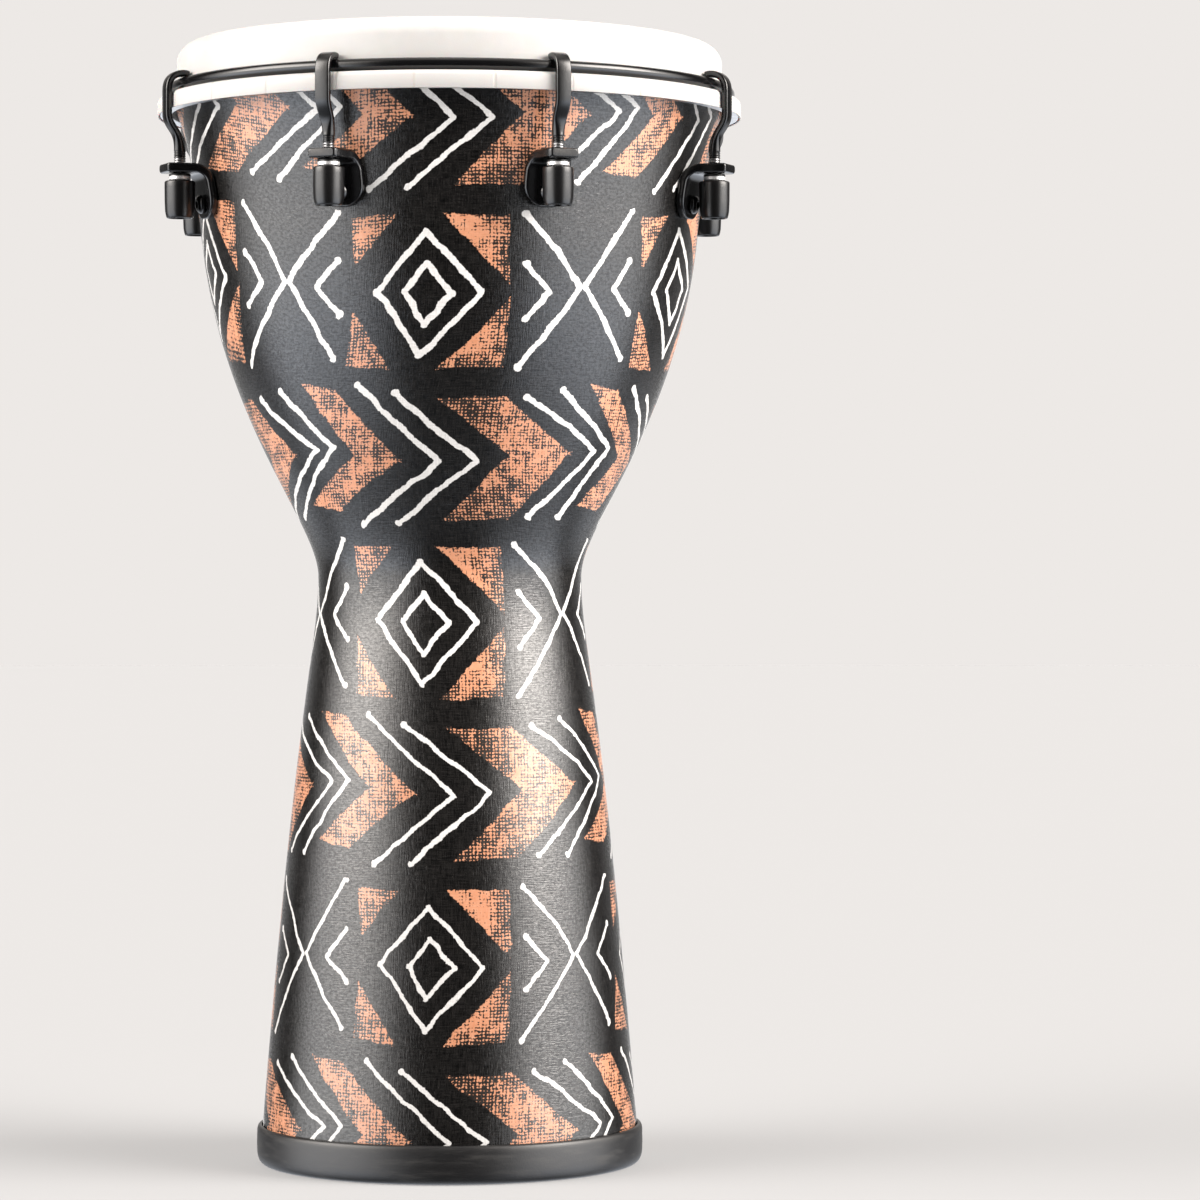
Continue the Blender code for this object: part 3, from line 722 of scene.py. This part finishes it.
def cloth_panel(index, nu=26):
    a0 = math.radians(-45.0 + 90.0 * index)
    outer = _L
    inner = np.array(offset_inward(LINE, WRAP_T))
    nv = len(outer)
    verts = []
    for pts in (outer, inner):
        for r, z in pts:
            for i in range(nu + 1):
                a = a0 + math.radians(90.0) * i / nu
                verts.append((r * math.sin(a), -r * math.cos(a), z))
    row, layer = nu + 1, nv * (nu + 1)
    faces = []
    for j in range(nv - 1):
        for i in range(nu):
            q = j * row + i
            faces.append((q, q + 1, q + row + 1, q + row))
            q += layer
            faces.append((q, q + row, q + row + 1, q + 1))
        for i in (0, nu):
            q = j * row + i
            faces.append((q, q + row, q + row + layer, q + layer))
    for j in (0, nv - 1):
        for i in range(nu):
            q = j * row + i
            faces.append((q, q + 1, q + 1 + layer, q + layer))
    obj = to_object("cloth_panel_%d" % (index + 1), verts, faces, CLOTH, None, smooth=None)
    cut(obj, BOLT_HOLES)
    mesh = obj.data

    nl = len(mesh.loops)
    co = np.zeros(len(mesh.vertices) * 3)
    mesh.vertices.foreach_get("co", co)
    co = co.reshape(-1, 3) / MM
    lv = np.zeros(nl, int)
    mesh.loops.foreach_get("vertex_index", lv)
    centre = np.zeros(len(mesh.polygons) * 3)
    mesh.polygons.foreach_get("center", centre)
    centre = centre.reshape(-1, 3) / MM
    pn = np.zeros(len(mesh.polygons) * 3)
    mesh.polygons.foreach_get("normal", pn)
    pn = pn.reshape(-1, 3)
    total = np.zeros(len(mesh.polygons), int)
    mesh.polygons.foreach_get("loop_total", total)
    face_of = np.repeat(np.arange(len(total)), total)

    p = co[lv]
    rad = np.hypot(p[:, 0], p[:, 1])
    z = p[:, 2]
    line_r = np.interp(z, _L[:, 1], _L[:, 0])
    v = np.interp(z, _L[:, 1], _S)
    seg = np.gradient(_L[:, 0], _S)
    segz = np.gradient(_L[:, 1], _S)
    tr, tz = np.interp(v, _S, seg), np.interp(v, _S, segz)
    ln = np.hypot(tr, tz)
    az = np.arctan2(p[:, 0], -p[:, 1])
    fc = centre[face_of]
    faz = np.arctan2(fc[:, 0], -fc[:, 1])
    az = np.where(az - faz > math.pi, az - 2 * math.pi, az)
    az = np.where(faz - az > math.pi, az + 2 * math.pi, az)
    side = pn[face_of]
    radial = np.stack([np.sin(az), -np.cos(az), np.zeros_like(az)], 1)
    smooth_n = radial * (tz / ln)[:, None] + np.array([0, 0, 1.0]) * (-tr / ln)[:, None]
    vert_out = rad > line_r - 0.12
    out_face = np.ones(len(total), bool)
    np.logical_and.at(out_face, face_of, vert_out)
    agree = np.einsum("ij,ij->i", side, smooth_n) > 0.8
    is_out = out_face[face_of] & agree
    normals = np.where(is_out[:, None], smooth_n, side)
    mesh.shade_smooth()
    mesh.normals_split_custom_set([tuple(n) for n in normals])

    while mesh.uv_layers:
        mesh.uv_layers.remove(mesh.uv_layers[0])
    uu, vv = cloth_uv(line_r, v, az)
    layer_uv = mesh.uv_layers.new(name="cloth")
    layer_uv.data.foreach_set("uv", np.stack([uu * MM, vv * MM], 1).ravel().astype(np.float32))

    # room for every face of the panel on its own sheet, lower and upper half side by side
    mid = _S[-1] / 2
    fz_v = np.interp(fc[:, 2], _L[:, 1], _S)
    upper = fz_v > mid
    amid = a0 + math.radians(45.0)
    daz = np.arctan2(np.sin(az - amid), np.cos(az - amid))
    arc_mm = daz * line_r
    width_up = math.radians(90.0) * 127.0
    width_low = math.radians(90.0) * 86.4
    sx = 0.93 / (width_up + width_low + 6.0)
    sy = 0.985 / (mid + 10.0)
    bx = np.where(upper, (arc_mm + width_up / 2) * sx,
                  (width_up + 6.0 + arc_mm + width_low / 2) * sx) + 0.004
    by = np.where(upper, v - mid + 6.0, v + 2.0) * sy + 0.004
    # inner skin and edges are never seen: a narrow strip of the sheet holds them
    hx = 0.945 + 0.05 * (daz / math.radians(90.0) + 0.5)
    hy = 0.005 + 0.99 * v / _S[-1]
    bake = mesh.uv_layers.new(name="OFBake")
    bake.data.foreach_set("uv", np.stack([np.where(is_out, bx, hx), np.where(is_out, by, hy)],
                                         1).ravel().astype(np.float32))
    mesh.uv_layers.active = mesh.uv_layers["cloth"]
    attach(obj, "shell")
    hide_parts("fabric_wrap")
    return obj


for k in range(4):
    cloth_panel(k)


# ------------------------------------------------------------------ shell and foot
def make_shell():
    outer = offset_inward(LINE, WRAP_T + GAP)
    inner = offset_inward(LINE, WRAP_T + GAP + WALL)
    edge = [(EDGE_R, RIM_Z + 3.4), (EDGE_R, TOP_Z - FILM_T - GAP - EDGE_ROUND)]
    edge += arc(EDGE_R - EDGE_ROUND, TOP_Z - FILM_T - GAP - EDGE_ROUND, EDGE_ROUND, 0, 90, 9)[1:]
    edge += [(EDGE_R - 11.0, TOP_Z - FILM_T - GAP - 0.5), (EDGE_R - 11.9, TOP_Z - FILM_T - GAP - 1.6),
             (EDGE_R - 12.6, TOP_Z - 8.0)]
    inner[0] = (inner[0][0], outer[0][1])
    keep = [inner[0]] + inner[2:-1:2] + [inner[-1]]
    verts, faces = turned(outer + edge + keep[::-1], 96)
    obj = to_object("shell_moulding", verts, faces, FIBRE, None, smooth=None)
    cut(obj, BOLT_HOLES)
    obj.data.shade_smooth()
    obj.data.set_sharp_from_angle(angle=math.radians(32.0))
    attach(obj, "shell")
    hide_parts("shell")


def make_foot():
    wall_out = LINE[0][0]
    wall_in = wall_out - (WRAP_T + GAP + WALL)
    top = FOOT_H
    profile = [(wall_out + GAP + 0.1, top), (wall_out + 0.9, top + 0.0)]
    profile += bezier((wall_out + 0.9, top), (FOOT_R - 0.5, top - 0.1),
                      (FOOT_R - 0.15, top - 1.0), (FOOT_R - 0.1, top - 3.4), 7, skip_first=True)
    profile += [(FOOT_R, 9.0), (FOOT_R - 0.08, 5.6)]
    profile += bezier((FOOT_R - 0.08, 5.6), (FOOT_R - 0.3, 2.0), (FOOT_R - 1.5, 0.0),
                      (FOOT_R - 3.6, 0.0), 8, skip_first=True)
    profile += [(wall_in - 0.6, 0.0)]
    profile += bezier((wall_in - 0.6, 0.0), (wall_in - 2.2, 0.0), (wall_in - 2.9, 0.8),
                      (wall_in - 2.9, 2.4), 5, skip_first=True)
    profile += [(wall_in - 2.9, 11.2), (wall_in - 2.5, 11.8), (wall_in - 2.0, 12.0),
                (wall_in - GAP - 0.1, 12.0), (wall_in - GAP - 0.1, 4.3),
                (wall_out + GAP + 0.1, 4.3)]
    verts, faces = turned(profile, 128)
    to_object("foot_rubber_ring", verts, faces, RUBBER, "shell", ("foot_ring",), 40.0)


make_shell()
make_foot()


# ------------------------------------------------------------------ head and hoops
def make_head():
    top_r = HEAD_R - 8.2
    outer = [(0.0, TOP_Z), (30.0, TOP_Z), (60.0, TOP_Z), (90.0, TOP_Z), (108.0, TOP_Z)]
    outer += arc(top_r, TOP_Z - 8.2, 8.2, 90, 0, 12)
    outer += [(HEAD_R, COLLAR_TOP + 3.0)]
    outer += arc(HEAD_R + 1.8, COLLAR_TOP + 1.8, 1.8, 180, 270, 4)
    outer += [(COLLAR_R - 2.6, COLLAR_TOP)]
    outer += arc(COLLAR_R - 2.4, COLLAR_TOP - 2.4, 2.4, 90, 0, 7)[1:]
    outer += [(COLLAR_R, COLLAR_BOTTOM + 0.2), (COLLAR_R - 0.15, COLLAR_BOTTOM)]
    t = FILM_T
    inner = [(COLLAR_R - t, COLLAR_BOTTOM)]
    inner += arc(COLLAR_R - 2.4, COLLAR_TOP - 2.4, 2.4 - t, 0, 90, 7)
    inner += [(HEAD_R + 1.8, COLLAR_TOP - t)]
    inner += [(HEAD_R - t + 0.7, COLLAR_TOP - 0.1), (HEAD_R - t, COLLAR_TOP + 1.2)]
    inner += arc(top_r, TOP_Z - 8.2, 8.2 - t, 0, 90, 12)
    inner += [(90.0, TOP_Z - t), (50.0, TOP_Z - t), (0.0, TOP_Z - t)]
    verts, faces = turned(outer + inner, 144, closed=False)
    to_object("head_film", verts, faces, FILM, "head", ("drumhead_film",), 40.0)

    low, high = COLLAR_BOTTOM + 0.4, COLLAR_TOP - t - GAP
    inside, outside = RIM_R + 1.0, COLLAR_R - t - GAP
    profile = [(inside, low + 0.3), (inside + 0.3, low), (outside - 0.3, low), (outside, low + 0.3)]
    profile += arc(outside - 1.8, high - 1.8, 1.8, 0, 90, 6)
    profile += [(inside + 0.3, high), (inside, high - 0.3)]
    verts, faces = turned(profile, 128)
    to_object("head_hoop", verts, faces, ALU, "head", ("flesh_hoop",), 40.0)

    ring = [(HOOP_R + HOOP_WIRE * math.cos(2 * math.pi * k / 20),
             HOOP_Z + HOOP_WIRE * math.sin(2 * math.pi * k / 20)) for k in range(20)]
    verts, faces = turned(ring, 160)
    to_object("rod_counterhoop", verts, faces, GLOSS, "head", ("counterhoop",), None)


make_head()


# ------------------------------------------------------------------ tuning hardware
def hook_rings(rod_end):
    path = []                                # radial, z, width, roundness, thickness
    curl = HOOP_WIRE + GAP + 0.05 + STRAP_T / 2
    for deg in (118, 114, 110, 105, 100, 96, 92):
        a = math.radians(deg)
        tip = {118: 0.80, 114: 0.93}.get(deg, 1.0)
        path.append((HOOP_R + curl * math.cos(a), HOOP_Z + curl * math.sin(a),
                     STRAP_W * tip, 0.0, STRAP_T * (0.72 if deg == 118 else 1.0)))
    start = (path[-1][0], path[-1][1])
    for r, z in bezier(start, (start[0] + 3.6, start[1] + 0.1), (STRAP_R, 494.2),
                       (STRAP_R, 488.0), 12, skip_first=True):
        path.append((r, z, STRAP_W, 0.0, STRAP_T))
    path.append((STRAP_R, 483.0, STRAP_W, 0.0, STRAP_T))
    path.append((STRAP_R, 477.5, STRAP_W, 0.0, STRAP_T))
    bend = bezier((STRAP_R, 477.5), (STRAP_R, 471.5), (ROD_R, 470.0), (ROD_R, 461.5), 14,
                  skip_first=True)
    for i, (r, z) in enumerate(bend):
        k = (i + 1) / len(bend)
        s = min(max((k - 0.55) / 0.45, 0.0), 1.0)
        s = s * s * (3 - 2 * s)
        path.append((r, z, STRAP_W - 0.9 * k, s * 0.9, STRAP_T + (ROD_D - STRAP_T) * 0.0))
    rings = []
    for i, (r, z, width, roundness, thick) in enumerate(path):
        a = path[max(i - 1, 0)]
        b = path[min(i + 1, len(path) - 1)]
        t = Vector((b[0] - a[0], b[1] - a[1]))
        if i == len(path) - 1:
            t = Vector((0.0, -1.0))
        t.normalize()
        n = Vector((-t.y, t.x))
        rings.append([(w, -(r + n.x * q), z + n.y * q)
                      for w, q in bar_section(width, thick, 0.85, roundness, ROD_D / 2)])
    order = [math.atan2(q, w) for w, q in bar_section(6, 6, 1, 1.0, 1.0)]

    def rod_ring(z, deep, scale=1.0):
        out = []
        for a in order:
            ph = (z / THREAD_PITCH - a / (2 * math.pi)) % 1.0
            r = (ROD_D / 2) * scale - deep * abs(2 * ph - 1.0)
            out.append((r * math.cos(a), -(ROD_R + r * math.sin(a)), z))
        return out

    rings.append(rod_ring(460.9, 0.0))
    for top, bottom in ((460.7, 449.6), (min(437.0, rod_end + 10.0), rod_end + 0.55)):
        rings.append(rod_ring(top, 0.0, 0.985))
        steps = max(int((top - bottom) / (THREAD_PITCH / 5.0)), 2)
        for s in range(1, steps):
            rings.append(rod_ring(top - (top - bottom) * s / steps, 0.42))
        rings.append(rod_ring(bottom, 0.0, 0.93))
    rings.append(rod_ring(rod_end, 0.0, 0.74))
    return rings


def bracket_rings():
    mid = FLANGE_TOP - FLANGE_T / 2
    path = []                                # radial, z, width, thickness, hug
    for h in (0.0, 0.35, 0.9, 1.7, 2.8, 4.2, 6.0, 8.2, 11.0):
        z = PLATE_BOTTOM + h
        width = 22.0 * math.sqrt(max(1.0 - ((9.0 - min(h, 9.0)) / 9.35) ** 2, 0.0))
        path.append((back_at(z) + PLATE_T / 2, z, width, PLATE_T * (0.72 if h == 0 else 1.0), 1.0))
    path.append((back_at(PLATE_TOP) + PLATE_T / 2, PLATE_TOP, 21.5, PLATE_T, 0.8))
    r0 = path[-1][0]
    for i in range(1, 9):
        k = i / 8
        a = math.radians(90.0 * k)
        path.append((r0 + BEND_R * (1 - math.cos(a)), PLATE_TOP + BEND_R * math.sin(a),
                     21.5 - 3.9 * k, PLATE_T + (FLANGE_T - PLATE_T) * k, 0.8 * (1 - k)))
    path.append((ROD_R - 2.0, mid, 16.3, FLANGE_T, 0.0))
    path.append((ROD_R + 2.0, mid, 15.6, FLANGE_T, 0.0))
    path.append((FLANGE_TIP - 2.4, mid, 14.2, FLANGE_T, 0.0))
    path.append((FLANGE_TIP - 1.2, mid, 13.6, FLANGE_T, 0.0))
    path.append((FLANGE_TIP - 0.45, mid, 12.6, FLANGE_T - 0.5, 0.0))
    path.append((FLANGE_TIP, mid, 11.2, FLANGE_T - 1.4, 0.0))
    rings = []
    for i, (r, z, width, thick, hug) in enumerate(path):
        a = path[max(i - 1, 0)]
        b = path[min(i + 1, len(path) - 1)]
        t = Vector((b[0] - a[0], b[1] - a[1]))
        if i == 9:
            t = Vector((path[9][0] - path[8][0], path[9][1] - path[8][1]))
        if i >= 17:
            t = Vector((1.0, 0.0))
        t.normalize()
        n = Vector((-t.y, t.x))
        ring = []
        for w, q in bar_section(width, thick, 1.15 if i < 19 else 1.0):
            sag = hug * (r - math.sqrt(r * r - w * w))
            ring.append((w, -(r + n.x * q - sag), z + n.y * q))
        rings.append(ring)
    return rings


def hexagon(k, angle, r):
    """Radius of a hexagon with corner radius r at this angle."""
    a = (angle + math.pi / 6) % (math.pi / 3) - math.pi / 6
    return r * math.cos(math.pi / 6) / math.cos((angle % (math.pi / 3)) - math.pi / 6)


def make_lugs():
    washer_top = FLANGE_TOP - FLANGE_T - GAP
    nut_top = washer_top - WASHER_T - GAP
    for i, angle in enumerate(LUG_ANGLES):
        tag = "_%d" % (i + 1)
        turn = Matrix.Rotation(angle, 4, "Z")
        verts, faces = skin(hook_rings(ROD_END))
        to_object("hook" + tag, verts, faces, HOOK, "hook" + tag,
                  ("tension_hook" + tag,), 50.0, turn)

        verts, faces = skin(bracket_rings())
        obj = to_object("bracket" + tag, verts, faces, GLOSS, None, (), None, turn)
        cut(obj, ROD_HOLES, BOLT_HOLES)
        obj.data.shade_smooth()
        obj.data.set_sharp_from_angle(angle=math.radians(40.0))
        m = obj.modifiers.new("even_shading", "WEIGHTED_NORMAL")
        m.keep_sharp = True
        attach(obj, "shell")
        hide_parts("tuning_bracket" + tag)

        c = 0.35
        prof = [(BORE_R, -c), (BORE_R + c, 0.0), (WASHER_R - c, 0.0), (WASHER_R, -c),
                (WASHER_R, -WASHER_T + c), (WASHER_R - c, -WASHER_T), (BORE_R + c, -WASHER_T),
                (BORE_R, -WASHER_T + c)]
        verts, faces = turned(prof, 36)
        to_object("washer" + tag, verts, faces, WASHER, "shell",
                  ("nut_washer" + tag,), 30.0, rod_matrix(angle, washer_top))

        prof = [(BORE_R, -0.4), (BORE_R + 0.4, 0.0), (NUT_R - 0.9, 0.0)]
        prof += arc(NUT_R - 0.8, -0.8, 0.8, 90, 0, 4)[1:]
        prof += [(NUT_R, -3.0), (NUT_R - 0.05, -9.0), (NUT_R - 0.25, -NUT_H + 3.2),
                 (NUT_R - 0.55, -NUT_H + 1.6)]
        prof += bezier((NUT_R - 0.55, -NUT_H + 1.6), (NUT_R - 0.8, -NUT_H + 0.5),
                       (NUT_R - 1.0, -NUT_H), (NUT_R - 1.3, -NUT_H), 4, skip_first=True)
        prof += [(5.2, -NUT_H + 0.05), (5.05, -NUT_H + 0.35), (5.0, -NUT_H + 2.6),
                 (BORE_R + 0.3, -NUT_H + 2.6), (BORE_R, -NUT_H + 2.9)]
        verts, faces = turned(prof, 48)
        to_object("sleeve_nut" + tag, verts, faces, SATIN, "nut" + tag,
                  ("tuning_nut" + tag,), 38.0, rod_matrix(angle, nut_top))

        reach = PLATE_T + GAP + (GAP + 0.05) + WRAP_T + GAP + WALL
        depth = reach + GAP + 4.0 + 1.2
        hr, hh = BOLT_HEAD_R, BOLT_HEAD_H
        prof = [(0.0, hh - 1.35), (1.62, hh - 1.35), (1.66, hh - 0.12), (1.9, hh), (2.6, hh - 0.12),
                (3.3, hh - 0.45), (3.85, hh - 0.95), (4.15, hh - 1.5), (hr, hh - 2.0),
                (hr - 0.15, 0.0), (BOLT_R, 0.0), (BOLT_R, -depth + 0.5), (BOLT_R - 0.5, -depth),
                (0.0, -depth)]

        def socket(k, a, r):
            return hexagon(k, a, r * 1.09) if k in (1, 2) else r

        verts, faces = turned(prof, 36, closed=False, shape=socket)
        to_object("button_bolt" + tag, verts, faces, GLOSS, "shell",
                  ("bracket_bolt" + tag,), 38.0, bolt_matrix(angle))

        seat = -(reach + GAP + 0.25)
        prof = [(3.35, seat), (4.55, seat), (4.62, seat - 0.1), (4.62, seat - 3.5),
                (4.2, seat - 4.0), (3.65, seat - 4.0), (3.35, seat - 3.7)]

        def flats(k, a, r):
            return hexagon(k, a, r) if k in (1, 2, 3) else (min(r, hexagon(k, a, 4.62)) if k == 4 else r)

        verts, faces = turned(prof, 36, shape=flats)
        to_object("lock_nut" + tag, verts, faces, ZINC, "shell",
                  ("inner_lock_nut" + tag,), 30.0, bolt_matrix(angle))


make_lugs()
for tool in (BOLT_HOLES, ROD_HOLES):
    bpy.data.objects.remove(tool, do_unlink=True)


# ------------------------------------------------------------------ floor
def make_floor():
    mat, net, bsdf = new_material("studio_floor")
    p = net.coord()
    faint = net.noise(p, 3.0, 2.0, 0.5)
    net.put(bsdf.inputs["Base Color"], net.mixc(faint, (0.2304, 0.2363, 0.2442), (0.2325, 0.2384, 0.2462)))
    fixed(bsdf, Roughness=1.0, Specular_IOR_Level=0.0, Emission_Color=(0.847, 0.815, 0.791, 1.0),
          Emission_Strength=0.40)
    size, n = 24.0, 24
    bm = bmesh.new()
    bmesh.ops.create_grid(bm, x_segments=n, y_segments=n, size=size / 2)
    mesh = bpy.data.meshes.new("floor")
    bm.to_mesh(mesh)
    bm.free()
    mesh.materials.append(mat)
    floor = bpy.data.objects.new("floor", mesh)
    floor.location = (0.0, 0.0, -0.0002)
    floor.visible_glossy = False
    bpy.context.scene.collection.objects.link(floor)


make_floor()


# ------------------------------------------------------------------ light: a plain studio all round
def make_world():
    world = bpy.data.worlds.new("studio")
    world.use_nodes = True
    bpy.context.scene.world = world
    tree = world.node_tree
    tree.nodes.clear()
    net = Net(tree)
    d = net.coord("Generated")
    x, y, z = net.xyz(d)
    az = net.math("DEGREES", net.math("ARCTAN2", x, net.math("MULTIPLY", y, -1.0)))
    el = net.math("DEGREES", net.math("ARCSINE", net.math("MINIMUM", net.math("MAXIMUM", z, -1.0), 1.0)))
    away = net.math("ABSOLUTE", az)

    def window(value, lo, hi, soft_lo, soft_hi):
        return net.math("MULTIPLY", net.smooth(value, lo - soft_lo, lo + soft_lo),
                        net.smooth(value, hi + soft_hi, hi - soft_hi))

    left = net.math("MULTIPLY", az, -1.0)
    low_r = net.smooth(el, -47.0, -18.5, 0.09, 1.0, "LINEAR")
    tall = net.math("MULTIPLY", net.smooth(el, -66.0, -50.0), net.smooth(el, 64.0, 40.0))
    wide_r = net.math("MULTIPLY", window(az, 42.0, 107.0, 10.0, 9.0), net.math("MULTIPLY", tall, low_r))
    wide_l = net.math("MULTIPLY", window(left, 38.0, 107.0, 12.0, 12.0), net.math("MULTIPLY", tall, low_r))
    core_r = net.math("MULTIPLY", window(az, 54.0, 92.0, 10.0, 10.0), window(el, 10.5, 42.0, 4.0, 10.0))
    core_l = net.math("MULTIPLY", window(left, 54.0, 94.0, 10.0, 12.0), window(el, 10.5, 42.0, 4.0, 10.0))
    back = net.math("ADD", net.smooth(away, 134.0, 148.0, 0.0, 0.30), net.smooth(away, 158.0, 170.0, 0.0, 0.55))
    table = net.math("MULTIPLY", net.smooth(away, 112.0, 132.0), net.smooth(el, -6.0, -20.0))
    back = net.math("MULTIPLY_ADD", table, 0.75, back)
    top = net.math("MULTIPLY", net.smooth(el, 52.0, 72.0), 0.80)
    under = net.math("MULTIPLY", net.smooth(el, -62.0, -74.0), 1.2)
    under = net.math("MULTIPLY_ADD", net.smooth(el, -22.0, -46.0), 0.107, under)
    total = net.math("ADD", 0.004, back)
    total = net.math("ADD", total, top)
    total = net.math("ADD", total, under)
    for box, power in ((wide_r, 3.2), (wide_l, 3.33), (core_r, 15.3), (core_l, 8.4)):
        total = net.math("MULTIPLY_ADD", box, power, total)
    lit = net.add("ShaderNodeBackground")
    tint = net.mixc(net.smooth(el, -22.0, -4.0), (0.93, 0.985, 1.08), (1.0, 0.99, 0.985))
    tint = net.mixc(net.smooth(el, 4.0, 14.0), tint, (1.05, 0.985, 0.925))
    net.put(lit.inputs["Color"], tint)
    net.put(lit.inputs["Strength"], total)
    flat = net.add("ShaderNodeBackground")
    net.put(flat.inputs["Color"], (0.847, 0.815, 0.791, 1.0))
    net.put(flat.inputs["Strength"], 1.0)
    path = net.add("ShaderNodeLightPath")
    mix = net.add("ShaderNodeMixShader")
    net.put(mix.inputs[0], path.outputs["Is Camera Ray"])
    tree.links.new(lit.outputs[0], mix.inputs[1])
    tree.links.new(flat.outputs[0], mix.inputs[2])
    out = net.add("ShaderNodeOutputWorld")
    tree.links.new(mix.outputs[0], out.inputs["Surface"])


make_world()

# ------------------------------------------------------------------ camera
lens = bpy.data.cameras.new("camera")
lens.lens = 133.15
lens.sensor_width = 36.0
lens.clip_start, lens.clip_end = 0.05, 40.0
camera = bpy.data.objects.new("camera", lens)
camera.location = (0.0476, -2.0494, 0.2674)
camera.rotation_euler = (math.radians(90.0 - 0.2466), 0.0, math.radians(1.33 - 1.936))
bpy.context.scene.collection.objects.link(camera)
bpy.context.scene.camera = camera
bpy.context.scene.view_settings.view_transform = "Standard"
bpy.context.scene.view_settings.look = "None"

# ------------------------------------------------------------------ final update
bpy.context.view_layer.update()
